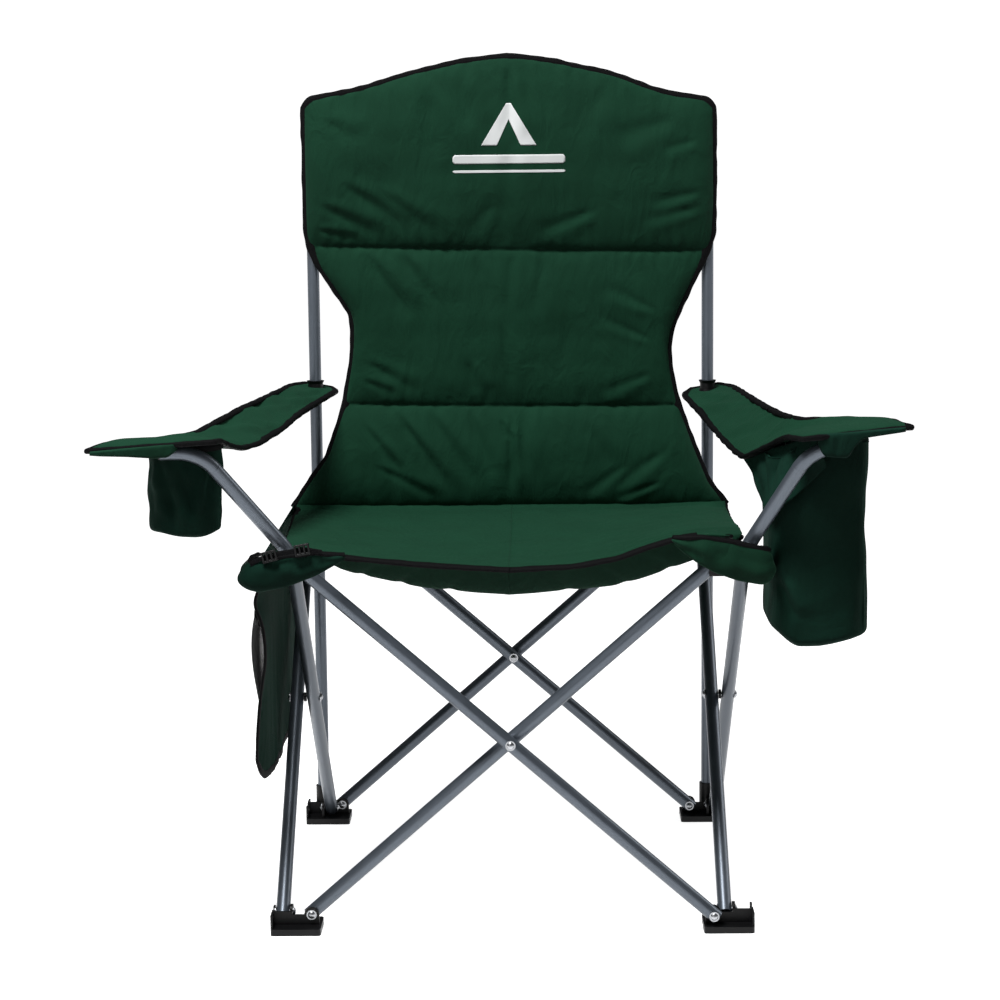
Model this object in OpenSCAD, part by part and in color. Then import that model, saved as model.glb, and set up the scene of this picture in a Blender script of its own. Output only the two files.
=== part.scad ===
// Folding camp chair: four scissor pairs of steel tube, two back posts, plastic feet, sliders and
// corner joints, and a padded fabric seat, back and armrests with a cup holder and a cooler bag.
// +Z is up, the sitter faces -Y, and +X is on the right of someone who looks at the chair's front.
// The origin is on the floor, under the middle of the whole chair. The four feet are centred a
// little behind it, because the armrests reach further forward than anything reaches back.

/* [Scissor frame] */
// Distance between the two lower pins of every scissor pair
pin_span = 480; // [460:2:500]
// Height of the upper pins above the lower pins
pin_rise = 419; // [400:1:440]
// Height of the lower pins above the floor
pin_height = 20; // [19:1:24]
// Outside diameter of the scissor tubes
tube_d = 17; // [16:0.5:17]
// Wall of every steel tube
tube_wall = 1.2; // [1:0.1:1.6]
// Distance between the axes of the two tubes of a pair
tube_pitch = 21; // [21:0.5:22]
// Front and rear scissor pairs, from the centre to the plane between their tubes
end_plane = 253; // [253:1:258]
// Side scissor pairs, from the centre to the plane between their tubes
side_plane = 265; // [265:1:268]
// Rivet shank diameter
rivet_d = 5; // [4:0.5:5]

/* [Back posts] */
// Outside diameter of the back posts
post_d = 16; // [14:0.5:16]
// Back posts, from the centre sideways
post_x = 266; // [266:1:270]
// Back posts, from the centre to the rear
post_y = 263; // [263:1:268]
// Height of the top of the back posts
post_top = 962; // [920:1:980]

/* [Arms] */
// Height of the armrests' top face
arm_top = 604; // [598:1:612]
// Thickness of an armrest
arm_pad = 6; // [4:1:7]
// How far the tip of an armrest reaches from the centre
arm_reach = 474; // [460:1:480]
// How far the front of an armrest reaches from the centre
arm_front = 345; // [342:1:360]
// Radius of an armrest's round rear end
arm_rear_half = 32; // [28:1:36]
// Radius of the bends in an arm tube
bend_r = 55; // [45:1:60]

/* [Seat and back] */
// Height of the seat's top face
seat_top = 437; // [434:1:440]
// Thickness of the seat pad
seat_pad = 20; // [16:1:21]
// Thickness of the back pad
back_pad = 17; // [12:1:20]
// Height of the top of the back at its middle
back_top = 1046; // [1000:1:1060]
// Height of the back's shoulders
shoulder_z = 976; // [966:1:986]
// Half of the back's width at the shoulders
shoulder_x = 278; // [276:1:284]
// Half of the back's width at the waist
waist_x = 220; // [200:1:230]

/* [Bags] */
// Outside radius of the cup holder at its mouth
cup_r = 40; // [38:1:41]
// Depth of the cup holder
cup_depth = 102; // [80:1:110]
// Depth of the cooler bag
cooler_depth = 238; // [180:1:240]
// Wall of the cup holder and of the cooler bag
bag_wall = 3; // [2:0.5:4]

/* [Hidden] */
$fn = 48;

LEFT = -1;
RIGHT = 1;
FRONT = -1;
REAR = 1;

steel = [0.25, 0.28, 0.33];
plastic = [0.05, 0.05, 0.06];
silver = [0.75, 0.76, 0.78];
green = [0.03, 0.24, 0.14];
dark_green = [0.02, 0.16, 0.10];
net = [0.08, 0.08, 0.09];

pin_half = pin_span / 2;
top_z = pin_height + pin_rise;
mid_z = pin_height + pin_rise / 2;
lean = atan2(pin_span, pin_rise);
brace_len = norm([pin_span, pin_rise]);
half_pitch = tube_pitch / 2;
tube_r = tube_d / 2;
inner_d = tube_d - 2 * tube_wall;
post_r = post_d / 2;
// How far the middle of the feet is behind the origin
setback = (arm_front - post_y - arm_rear_half) / 2;
// How far a tube runs past its end pin
end_past_pin = 5.5;
// Clearances: pin in hole, tube beside lug, slider on post
pin_clear = 0.06;
lug_clear = 0.4;
slide_clear = 0.3;
lug_t = tube_pitch - tube_d - 2 * lug_clear;
lug_r = 9;
hole_d = rivet_d + 2 * pin_clear;
sleeve_r = post_r + 2.6;

// Each side pair stands the same way round, so the left and right sides are not mirror images.
strut_x = function (side) side * side_plane - half_pitch;
arm_x = function (side) side * side_plane + half_pitch;
// In the end pairs the tube that falls to the right stands in front of the one that rises.
rising_y = function (end) end * end_plane + half_pitch;
falling_y = function (end) end * end_plane - half_pitch;

// ---- helpers ----

// Moves a piece drawn about the middle of the feet to its place about the origin
module placed() { translate([0, setback, 0]) children(); }

// A cylinder between two points
module rod(p, q, d) {
    v = q - p;
    translate(p) rotate([0, acos(v.z / norm(v)), atan2(v.y, v.x)]) cylinder(d = d, h = norm(v));
}

// A bar along a list of corner points, bent at each inner corner. A ball slightly wider than the
// bar joins each straight run to its bend, turned so that its seam misses the bar's.
ball_extra = 0.4;
ball_turn = [0, 0, 37];
function unit(v) = v / norm(v);
function bend_back(d0, d1) = bend_r * tan(acos(d0 * d1) / 2);
module elbow(p, d0, d1, d) {
    inward = unit(d1 - (d1 * d0) * d0);
    x = -inward;
    z = cross(x, d0);
    translate(p - bend_back(d0, d1) * d0 + bend_r * inward)
        rotate([atan2(d0.z, z.z), -asin(x.z), atan2(x.y, x.x)])
        rotate_extrude(angle = acos(d0 * d1)) translate([bend_r, 0]) circle(d = d);
}
module bent_bar(pts, d, past_start, past_end) {
    last = len(pts) - 1;
    dir = [for (i = [0 : last - 1]) unit(pts[i + 1] - pts[i])];
    back = [for (i = [1 : last - 1]) bend_back(dir[i - 1], dir[i])];
    for (i = [0 : last - 1]) {
        from = pts[i] + (i == 0 ? -past_start : back[i - 1]) * dir[i];
        to = pts[i + 1] - (i == last - 1 ? -past_end : back[i]) * dir[i];
        rod(from, to, d);
        if (i > 0) translate(from) rotate(ball_turn) sphere(d = d + ball_extra);
        if (i < last - 1) translate(to) rotate(ball_turn) sphere(d = d + ball_extra);
    }
    for (i = [1 : last - 1]) elbow(pts[i], dir[i - 1], dir[i], d);
}

// A scissor tube that stands on the origin's Z axis, with its three pin holes along Y
module brace() {
    tube_len = brace_len + 2 * end_past_pin;
    difference() {
        cylinder(d = tube_d, h = tube_len, center = true);
        cylinder(d = inner_d, h = tube_len + 2, center = true);
        for (k = [-1, 0, 1]) translate([0, 0, k * brace_len / 2])
            rotate([90, 0, 0]) cylinder(d = hole_d, h = tube_d + 4, center = true);
    }
}

// A rivet along Z, from z = 0 to z = grip, with a washer and a domed head outside each end
module rivet(grip) {
    cap_r = 4.6;
    dome_r = 5.4;
    washer_t = 0.8;
    translate([0, 0, -washer_t]) cylinder(d = rivet_d, h = grip + 2 * washer_t);
    for (end = [0, 1]) translate([0, 0, end * grip]) mirror([0, 0, 1 - end]) {
        cylinder(r = cap_r + 1.4, h = washer_t);
        translate([0, 0, washer_t]) intersection() {
            translate([0, 0, -sqrt(dome_r * dome_r - cap_r * cap_r)]) sphere(r = dome_r);
            cylinder(r = cap_r + 1, h = dome_r);
        }
    }
}

// A rivet along Y or along X, between two coordinates on that axis
module rivet_y(x, z, y0, y1) { translate([x, y0, z]) rotate([-90, 0, 0]) rivet(y1 - y0); }
module rivet_x(y, z, x0, x1) { translate([x0, y, z]) rotate([0, 90, 0]) rivet(x1 - x0); }

// An outline of the right side, or its mirror image for the left side
function on_side(pts, side) =
    side == RIGHT ? pts : [for (i = [len(pts) - 1 : -1 : 0]) [-pts[i].x, pts[i].y]];

// A box given by two corners
module block(lo, hi) { translate(lo) cube(hi - lo); }

// A flat plate with round corners, given by two corners in X and Y
module slab(lo, hi, r, h) {
    linear_extrude(h) {
        translate(lo + [r, 0]) square(hi - lo - [2 * r, 0]);
        translate(lo + [0, r]) square(hi - lo - [0, 2 * r]);
        for (x = [lo.x + r, hi.x - r], y = [lo.y + r, hi.y - r]) translate([x, y]) circle(r);
    }
}

// The rivet's room past the outer side of a tube, or of a lug
head_gap = 0.15;
function tube_face(axis, out) = axis + out * (tube_r + head_gap);
function lug_face(plane, out) = plane + out * (lug_t / 2);

// ---- feet ----

// Upright ear in the end plane around an end pin, and the one in the side plane
module end_ear(side, end, z, below) {
    y = end * end_plane;
    difference() {
        union() {
            translate([side * pin_half, y + lug_t / 2, z]) rotate([90, 0, 0])
                cylinder(r = lug_r, h = lug_t);
            block([min(side * (pin_half - lug_r), side * (side_plane - 2)), y - lug_t / 2, below],
                  [max(side * (pin_half - lug_r), side * (side_plane - 2)), y + lug_t / 2, z]);
        }
        translate([side * pin_half, y, z]) rotate([90, 0, 0])
            cylinder(d = rivet_d, h = lug_t + 2, center = true);
    }
}
module side_ear(side, end, z, below) {
    x = side * side_plane;
    difference() {
        union() {
            translate([x - lug_t / 2, end * pin_half, z]) rotate([0, 90, 0])
                cylinder(r = lug_r, h = lug_t);
            block([x - lug_t / 2, min(end * (pin_half - lug_r), end * end_plane), below],
                  [x + lug_t / 2, max(end * (pin_half - lug_r), end * end_plane), z]);
        }
        translate([x, end * pin_half, z]) rotate([0, 90, 0])
            cylinder(d = rivet_d, h = lug_t + 2, center = true);
    }
}

foot_base = 8;
foot_wall = 2.6;
// The foot's plan, as distances from the centre: inner and outer in X, and near and far in Y
foot_in = pin_half - 12;
foot_out = side_plane + tube_pitch + 2;
foot_near = pin_half - 18;
foot_far = end_plane + tube_pitch + 1;
socket_top = 46;

module foot(side, end) {
    lo = [min(side * foot_in, side * foot_out), min(end * foot_near, end * foot_far)];
    hi = [max(side * foot_in, side * foot_out), max(end * foot_near, end * foot_far)];
    color(plastic) difference() {
        union() {
            slab(lo, hi, 4, foot_base);
            end_ear(side, end, pin_height, 0);
            side_ear(side, end, pin_height, 0);
            // outer wall and the wall that closes the box in line with the ear
            block([min(side * (foot_out - foot_wall), side * foot_out), lo.y + 4, 0],
                  [max(side * (foot_out - foot_wall), side * foot_out), hi.y - 4, 24]);
            block([min(side * (side_plane - 2), side * foot_out), end * end_plane - lug_t / 2, 0],
                  [max(side * (side_plane - 2), side * foot_out), end * end_plane + lug_t / 2, 24]);
            if (end == REAR) translate([side * post_x, post_y, 0])
                cylinder(r = sleeve_r, h = socket_top);
        }
        if (end == REAR) translate([side * post_x, post_y, foot_base])
            cylinder(d = post_d, h = socket_top);
        // room for the head of the side rivet in the outer wall
        translate([side * (side_plane + 15), end * pin_half, pin_height]) rotate([0, side * 90, 0])
            cylinder(r = 7, h = 12);
    }
}
module foot_rivets(side, end) {
    end_tube = side == LEFT ? rising_y(end) : falling_y(end);
    end_out = side == LEFT ? 1 : -1;
    side_tube = end == REAR ? arm_x(side) : strut_x(side);
    side_out = end == REAR ? 1 : -1;
    end_ends = [lug_face(end * end_plane, -end_out), tube_face(end_tube, end_out)];
    side_ends = [lug_face(side * side_plane, -side_out), tube_face(side_tube, side_out)];
    color(silver) {
        rivet_y(side * pin_half, pin_height, min(end_ends), max(end_ends));
        rivet_x(end * pin_half, pin_height, min(side_ends), max(side_ends));
    }
}
module foot_rear_left() { placed() foot(LEFT, REAR); }
module foot_rear_right() { placed() foot(RIGHT, REAR); }
module foot_front_left() { placed() foot(LEFT, FRONT); }
module foot_front_right() { placed() foot(RIGHT, FRONT); }
module foot_rivets_rear_left() { placed() foot_rivets(LEFT, REAR); }
module foot_rivets_rear_right() { placed() foot_rivets(RIGHT, REAR); }
module foot_rivets_front_left() { placed() foot_rivets(LEFT, FRONT); }
module foot_rivets_front_right() { placed() foot_rivets(RIGHT, FRONT); }

// ---- back posts ----

module back_post(side) {
    color(steel) translate([side * post_x, post_y, foot_base]) difference() {
        cylinder(d = post_d, h = post_top - foot_base);
        translate([0, 0, -1]) cylinder(d = post_d - 2 * tube_wall, h = post_top);
    }
}
// Plug with a rounded head that closes the top of a post
module post_cap(side) {
    color(plastic) translate([side * post_x, post_y, post_top]) {
        translate([0, 0, -14]) cylinder(d = post_d - 2 * tube_wall, h = 14);
        intersection() {
            translate([0, 0, -3]) sphere(r = post_r + 1);
            cylinder(r = post_r, h = post_r);
        }
    }
}
module back_post_left() { placed() back_post(LEFT); }
module back_post_right() { placed() back_post(RIGHT); }
module post_cap_left() { placed() post_cap(LEFT); }
module post_cap_right() { placed() post_cap(RIGHT); }

// ---- scissor tubes ----

module rising(end) { color(steel) translate([0, rising_y(end), mid_z]) rotate([0, lean, 0]) brace(); }
module falling(end) { color(steel) translate([0, falling_y(end), mid_z]) rotate([0, -lean, 0]) brace(); }
module rear_brace_rising() { placed() rising(REAR); }
module rear_brace_falling() { placed() falling(REAR); }
module front_brace_rising() { placed() rising(FRONT); }
module front_brace_falling() { placed() falling(FRONT); }

module side_strut(side) {
    color(steel) translate([strut_x(side), 0, mid_z]) rotate([-lean, 0, 0]) rotate([0, 0, 90]) brace();
}
module side_strut_left() { placed() side_strut(LEFT); }
module side_strut_right() { placed() side_strut(RIGHT); }

// The rising tube of each side pair runs on past the seat's front corner and bends outward. The
// arm tube plugs into its upper end, bends again, and ends level under the armrest.
arm_bend_out = [96, 72];
arm_end_out = [135, 107];
arm_bend_y = -325;
arm_end_z = arm_top - arm_pad - tube_r - 1.5;
arm_lead = 30;
joint_at = 36;
spigot_len = 22;
arm_path = function (side) [
    [arm_x(side), pin_half, pin_height],
    [arm_x(side), -pin_half, top_z] + arm_lead * [0, -sin(lean), cos(lean)],
    [arm_x(side) + side * (side == LEFT ? arm_bend_out[0] : arm_bend_out[1]), arm_bend_y, arm_end_z],
    [arm_x(side) + side * (side == LEFT ? arm_end_out[0] : arm_end_out[1]), arm_bend_y - 4, arm_end_z]
];
joint_point = function (side) let (p = arm_path(side)) p[1] + joint_at * unit(p[2] - p[1]);
module side_tube(side) {
    path = [arm_path(side)[0], arm_path(side)[1], joint_point(side)];
    color(steel) difference() {
        bent_bar(path, tube_d, end_past_pin, 0);
        bent_bar(path, inner_d, end_past_pin + 1, 1);
        for (k = [0, 0.5, 1]) translate([arm_x(side), pin_half - k * pin_span, pin_height + k * pin_rise])
            rotate([0, 90, 0]) cylinder(d = hole_d, h = tube_d + 4, center = true);
    }
}
module side_tube_left() { placed() side_tube(LEFT); }
module side_tube_right() { placed() side_tube(RIGHT); }

// Drawn as a left tube, and mirrored for the right side
module arm_tube(side) {
    pts = [for (p = [joint_point(side), arm_path(side)[2], arm_path(side)[3]]) [-side * p.x, p.y, p.z]];
    way = unit(pts[1] - pts[0]);
    color(steel) mirror([side == RIGHT ? 1 : 0, 0, 0]) difference() {
        union() {
            bent_bar(pts, tube_d, 0, end_past_pin);
            rod(pts[0] - (spigot_len - ball_extra) * way, pts[0] + way, inner_d - 0.3);
        }
        bent_bar(pts, inner_d - 2 * tube_wall, spigot_len + 1, end_past_pin + 1);
    }
}
module arm_tube_left() { placed() arm_tube(LEFT); }
module arm_tube_right() { placed() arm_tube(RIGHT); }

// Plug in the open end of an arm tube
module arm_plug(side) {
    path = arm_path(side);
    way = unit(path[3] - path[2]);
    end = path[3] + end_past_pin * way;
    color(plastic) {
        rod(end - 12 * way, end, inner_d - 2 * tube_wall);
        rod(end, end + 2 * way, tube_d - 0.6);
    }
}
module arm_plug_left() { placed() arm_plug(LEFT); }
module arm_plug_right() { placed() arm_plug(RIGHT); }

// ---- crossings ----

module end_cross_rivet(end) {
    color(silver) rivet_y(0, mid_z, tube_face(falling_y(end), -1), tube_face(rising_y(end), 1));
}
module end_cross_spacer(end) {
    color(plastic) translate([0, end * end_plane, mid_z]) rotate([90, 0, 0]) difference() {
        cylinder(r = 6, h = lug_t, center = true);
        cylinder(d = hole_d, h = lug_t + 2, center = true);
    }
}
module side_cross_rivet(side) {
    color(silver) rivet_x(0, mid_z, tube_face(strut_x(side), -1), tube_face(arm_x(side), 1));
}
module side_cross_spacer(side) {
    color(plastic) translate([side * side_plane, 0, mid_z]) rotate([0, 90, 0]) difference() {
        cylinder(r = 6, h = lug_t, center = true);
        cylinder(d = hole_d, h = lug_t + 2, center = true);
    }
}
module rear_cross_rivet() { placed() end_cross_rivet(REAR); }
module front_cross_rivet() { placed() end_cross_rivet(FRONT); }
module rear_cross_spacer() { placed() end_cross_spacer(REAR); }
module front_cross_spacer() { placed() end_cross_spacer(FRONT); }
module side_cross_rivet_left() { placed() side_cross_rivet(LEFT); }
module side_cross_rivet_right() { placed() side_cross_rivet(RIGHT); }
module side_cross_spacer_left() { placed() side_cross_spacer(LEFT); }
module side_cross_spacer_right() { placed() side_cross_spacer(RIGHT); }

// ---- sliders on the back posts ----

slider_half = 20;
module slider(side) {
    color(plastic) difference() {
        union() {
            translate([side * post_x, post_y, top_z - slider_half])
                cylinder(r = sleeve_r, h = 2 * slider_half);
            end_ear(side, REAR, top_z, top_z - 8);
            side_ear(side, REAR, top_z, top_z - 8);
        }
        translate([side * post_x, post_y, top_z - slider_half - 1])
            cylinder(r = post_r + slide_clear, h = 2 * slider_half + 2);
    }
}
module slider_rivets(side) {
    end_tube = side == LEFT ? falling_y(REAR) : rising_y(REAR);
    out = side == LEFT ? -1 : 1;
    end_ends = [lug_face(end_plane, -out), tube_face(end_tube, out)];
    side_ends = [lug_face(side * side_plane, 1), tube_face(strut_x(side), -1)];
    color(silver) {
        rivet_y(side * pin_half, top_z, min(end_ends), max(end_ends));
        rivet_x(pin_half, top_z, min(side_ends), max(side_ends));
    }
}
module slider_left() { placed() slider(LEFT); }
module slider_right() { placed() slider(RIGHT); }
module slider_rivets_left() { placed() slider_rivets(LEFT); }
module slider_rivets_right() { placed() slider_rivets(RIGHT); }

// ---- front corner joints ----

// Two ears that meet in the corner. Both stay low, because the arm tube leans out over them.
corner_r = 5.2;
module front_corner(side) {
    end_y = -end_plane;
    x = side * side_plane;
    deep = top_z - 12;
    color(plastic) difference() {
        union() {
            translate([side * pin_half, end_y + lug_t / 2, top_z]) rotate([90, 0, 0])
                cylinder(r = corner_r, h = lug_t);
            block([min(side * (pin_half - corner_r), x), end_y - lug_t / 2, deep],
                  [max(side * (pin_half - corner_r), x), end_y + lug_t / 2, top_z - 4]);
            translate([x - lug_t / 2, -pin_half, top_z]) rotate([0, 90, 0])
                cylinder(r = lug_r, h = lug_t);
            block([x - lug_t / 2, end_y - lug_t / 2, deep],
                  [x + lug_t / 2, -pin_half + lug_r, top_z]);
        }
        translate([side * pin_half, end_y, top_z]) rotate([90, 0, 0])
            cylinder(d = rivet_d, h = lug_t + 2, center = true);
        translate([x, -pin_half, top_z]) rotate([0, 90, 0])
            cylinder(d = rivet_d, h = lug_t + 2, center = true);
    }
}
module corner_rivets(side) {
    end_tube = side == LEFT ? falling_y(FRONT) : rising_y(FRONT);
    out = side == LEFT ? -1 : 1;
    end_ends = [lug_face(-end_plane, -out), tube_face(end_tube, out)];
    side_ends = [lug_face(side * side_plane, -1), tube_face(arm_x(side), 1)];
    color(silver) {
        rivet_y(side * pin_half, top_z, min(end_ends), max(end_ends));
        rivet_x(-pin_half, top_z, min(side_ends), max(side_ends));
    }
}
module front_corner_left() { placed() front_corner(LEFT); }
module front_corner_right() { placed() front_corner(RIGHT); }
module corner_rivets_left() { placed() corner_rivets(LEFT); }
module corner_rivets_right() { placed() corner_rivets(RIGHT); }

// ---- armrests ----

// Flared collar that holds the rear end of an armrest on its post
module arm_collar(side) {
    tall = side == RIGHT ? 20 : 24;
    color(plastic) translate([side * post_x, post_y, arm_top - 18]) difference() {
        union() {
            cylinder(r = post_r + 2, h = tall);
            cylinder(r1 = post_r + 5, r2 = post_r + 3, h = 8);
            translate([0, 0, tall - 4]) cylinder(r1 = post_r + 2, r2 = post_r + 4, h = 4);
        }
        translate([0, 0, -1]) cylinder(r = post_r + slide_clear, h = tall + 2);
    }
}
module arm_collar_left() { placed() arm_collar(LEFT); }
module arm_collar_right() { placed() arm_collar(RIGHT); }

// The cup holder's place
cup_at = [-374, -276];
arm_outline = [
    [post_x - arm_rear_half, post_y], [post_x + 4, 25], [post_x + 32, -175], [post_x + 60, -295],
    [post_x + 79, -arm_front], [arm_reach - 12, -arm_front], [arm_reach, -arm_front + 12],
    [arm_reach, -arm_front + 28], [post_x + 168, -238], [post_x + 102, -170],
    [post_x + arm_rear_half, post_y]
];
module armrest(side) {
    color(green) difference() {
        translate([0, 0, arm_top - arm_pad]) linear_extrude(arm_pad) union() {
            polygon(on_side(arm_outline, side));
            translate([side * post_x, post_y]) circle(arm_rear_half);
        }
        translate([side * post_x, post_y, arm_top - 30]) cylinder(r = post_r + 5, h = 40);
        if (side == LEFT) translate([cup_at.x, cup_at.y, arm_top - 30])
            cylinder(r = cup_r - 5, h = 40);
    }
}
module armrest_left() { placed() armrest(LEFT); }
module armrest_right() { placed() armrest(RIGHT); }

// ---- seat and back ----

seat_half = pin_half - 4;
seat_rear = 226;
seat_roll = 262;
seat_gap = 0.3;
module seat(side) {
    color(green) {
        block([min(side * seat_gap, side * seat_half), -pin_half + 14, seat_top - seat_pad],
              [max(side * seat_gap, side * seat_half), seat_rear, seat_top]);
        block([min(side * seat_gap, side * (pin_half - 46)), -seat_roll, seat_top - seat_pad - 4],
              [max(side * seat_gap, side * (pin_half - 46)), -pin_half + 14, seat_top]);
    }
}
module seat_left() { placed() seat(LEFT); }
module seat_right() { placed() seat(RIGHT); }

// Fabric pocket over a front corner: a flap on top of the corner joint, and its outer skirt
pocket_z = top_z + 26;
module seat_pocket(side) {
    color(dark_green) {
        block([min(side * 300, side * 292), -292, top_z - 20], [max(side * 300, side * 292), -242, pocket_z]);
        block([min(side * 292, side * 222), -292, top_z - 12], [max(side * 292, side * 222), -286, pocket_z]);
    }
}
module seat_pocket_left() { placed() seat_pocket(LEFT); }
module seat_pocket_right() { placed() seat_pocket(RIGHT); }

// Webbing strap with a ladder buckle at each end, in front of the left arm tube
module corner_buckle_left() {
    placed() color(plastic) for (x = [-290, -246]) block([x - 9, -299, top_z + 10], [x + 9, -293, top_z + 24]);
    placed() color(plastic) block([-281, -297, top_z + 14], [-255, -295, top_z + 20]);
}

back_face = post_y - post_r - 0.6;
back_low_half = pin_half - 16;
taper_z = 798;
waist_top = 692;
waist_low = 590;
back_low_z = seat_top + 4;
// Upper edge of the back, an arch that rises as a parabola from the shoulders to the middle
arch = [for (x = [1 : -0.125 : 0])
    [shoulder_x * x, shoulder_z + (back_top - shoulder_z) * (1 - pow(x, 2))]];
back_half = concat([[back_low_half, back_low_z], [waist_x, waist_low], [waist_x, waist_top],
    [shoulder_x, taper_z]], arch);
back_outline = concat(back_half, on_side([for (i = [0 : len(back_half) - 2]) back_half[i]], LEFT));
module back_panel() {
    placed() color(green) translate([0, back_face, 0]) rotate([90, 0, 0]) linear_extrude(back_pad)
        polygon(back_outline);
}

// Lower corner of the back that reaches out to a slider
flare = [[back_low_half + 1.5, top_z + 22], [side_plane + 12, top_z + 22], [waist_x + 6.5, waist_low - 12]];
module back_flare(side) {
    color(green) translate([0, back_face, 0]) rotate([90, 0, 0]) linear_extrude(6)
        polygon(on_side(flare, side));
}
module back_flare_left() { placed() back_flare(LEFT); }
module back_flare_right() { placed() back_flare(RIGHT); }

// ---- bags ----

module cup_holder() {
    top = arm_top - arm_pad - 2;
    floor_r = cup_r - 6;
    placed() color(dark_green) translate([cup_at.x, cup_at.y, top - cup_depth]) rotate_extrude() polygon([
        [0, 0], [floor_r, 0], [cup_r, cup_depth], [cup_r - bag_wall, cup_depth],
        [floor_r - bag_wall, bag_wall], [0, bag_wall]]);
}

cooler_lo = [308, -278];
cooler_hi = [408, -112];
cooler_top = arm_top - arm_pad - 6;
module cooler_bag() {
    placed() color(dark_green) difference() {
        translate([0, 0, cooler_top - cooler_depth]) slab(cooler_lo, cooler_hi, 22, cooler_depth);
        translate([0, 0, cooler_top - cooler_depth + bag_wall])
            slab(cooler_lo + [bag_wall, bag_wall], cooler_hi - [bag_wall, bag_wall], 19, cooler_depth);
    }
}
module cooler_lid() {
    placed() color(green) translate([0, 0, cooler_top]) slab(cooler_lo, cooler_hi, 22, 3);
}

// Flat organiser that hangs outside the left side, and the net pocket on its outer face
organiser_x = side_plane + tube_pitch + 6;
organiser_top = top_z + 2;
organiser_side = [
    [-236, 190], [-236, organiser_top], [214, organiser_top], [214, 292], [172, 220], [125, 188],
    [-25, 166], [-100, 168]
];
module organiser_plate(x, t, pts) {
    translate([x, 0, 0]) rotate([90, 0, 90]) linear_extrude(t) polygon(pts);
}
module side_organiser() {
    placed() color(dark_green) organiser_plate(-organiser_x - 5, 5, organiser_side);
}
net_low = 262;
net_high = 370;
net_depth = 14;
module organiser_net() {
    back_x = -organiser_x - 5;
    placed() color(net) difference() {
        block([back_x - net_depth, -226, net_low], [back_x, 60, net_high]);
        block([back_x - net_depth + 2, -224, net_low + 2], [back_x + 1, 58, net_high + 1]);
    }
}

foot_rear_left();
foot_rear_right();
foot_front_left();
foot_front_right();
back_post_left();
back_post_right();
post_cap_left();
post_cap_right();
rear_brace_rising();
rear_brace_falling();
front_brace_rising();
front_brace_falling();
side_strut_left();
side_strut_right();
side_tube_left();
side_tube_right();
arm_tube_left();
arm_tube_right();
slider_left();
slider_right();
front_corner_left();
front_corner_right();
rear_cross_rivet();
front_cross_rivet();
side_cross_rivet_left();
side_cross_rivet_right();
rear_cross_spacer();
front_cross_spacer();
side_cross_spacer_left();
side_cross_spacer_right();
foot_rivets_rear_left();
foot_rivets_rear_right();
foot_rivets_front_left();
foot_rivets_front_right();
slider_rivets_left();
slider_rivets_right();
corner_rivets_left();
corner_rivets_right();
arm_plug_left();
arm_plug_right();
arm_collar_left();
arm_collar_right();
armrest_left();
armrest_right();
seat_left();
seat_right();
back_panel();
back_flare_left();
back_flare_right();
seat_pocket_left();
seat_pocket_right();
corner_buckle_left();
cup_holder();
cooler_bag();
cooler_lid();
side_organiser();
organiser_net();
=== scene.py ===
"""Folding camp chair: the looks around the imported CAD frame. Metres, +Z up, the sitter faces -Y."""

import math

import bpy
import numpy as np
from mathutils import Matrix, Vector


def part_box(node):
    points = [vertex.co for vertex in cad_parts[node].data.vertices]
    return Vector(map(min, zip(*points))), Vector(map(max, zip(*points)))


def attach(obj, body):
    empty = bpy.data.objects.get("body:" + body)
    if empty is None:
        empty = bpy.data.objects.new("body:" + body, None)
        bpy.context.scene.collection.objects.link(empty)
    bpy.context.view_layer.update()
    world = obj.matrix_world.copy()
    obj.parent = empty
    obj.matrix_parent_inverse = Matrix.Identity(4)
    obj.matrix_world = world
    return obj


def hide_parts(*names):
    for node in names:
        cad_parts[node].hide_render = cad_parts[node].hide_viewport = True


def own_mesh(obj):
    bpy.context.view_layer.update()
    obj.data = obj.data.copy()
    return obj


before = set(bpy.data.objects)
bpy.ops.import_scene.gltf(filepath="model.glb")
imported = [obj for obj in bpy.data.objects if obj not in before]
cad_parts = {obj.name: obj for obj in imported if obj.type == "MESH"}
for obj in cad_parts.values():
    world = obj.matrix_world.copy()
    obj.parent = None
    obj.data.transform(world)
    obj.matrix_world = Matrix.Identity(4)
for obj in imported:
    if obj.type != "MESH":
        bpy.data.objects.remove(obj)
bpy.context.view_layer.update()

LEFT, RIGHT = -1, 1
SIDES = {"left": LEFT, "right": RIGHT}
MM = 0.001


def box(node):
    low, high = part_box(node)
    return np.array(low), np.array(high)


# ---------------------------------------------------------------- places taken from the frame

back_lo, back_hi = box("back_panel")
seat_lo, seat_hi = box("seat_right")
post_lo, post_hi = box("back_post_right")
arm_lo, arm_hi = box("armrest_right")
cup_lo, cup_hi = box("cup_holder")
bag_lo, bag_hi = box("cooler_bag")
organiser_lo, organiser_hi = box("side_organiser")
net_lo, net_hi = box("organiser_net")
pocket_lo, pocket_hi = box("seat_pocket_right")
buckle_lo, _ = box("corner_buckle_left")

POST_X = (post_lo[0] + post_hi[0]) / 2
POST_Y = (post_lo[1] + post_hi[1]) / 2
POST_R = (post_hi[0] - post_lo[0]) / 2
FOLD_X = -POST_X
SEAT_TOP = seat_hi[2]
POST_TO_CORNER = 0.503
FRONT_CORNER_Y = POST_Y - POST_TO_CORNER

# The share of its open size that each cloth is to keep, along its squash axis, when the chair is folded;
# dress() below only gives these cloths their own meshes and doesn't squash them
BACK_KEEP = 0.241
SEAT_KEEP = 0.159
ARM_KEEP = 0.239

# ---------------------------------------------------------------- maths helpers


def unit(t):
    """t kept between 0 and 1."""
    return np.clip(t, 0, 1)


def smooth(t):
    """0 below 0 and 1 above 1, with a soft step between them."""
    t = unit(t)
    return t * t * (3 - 2 * t)


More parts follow.
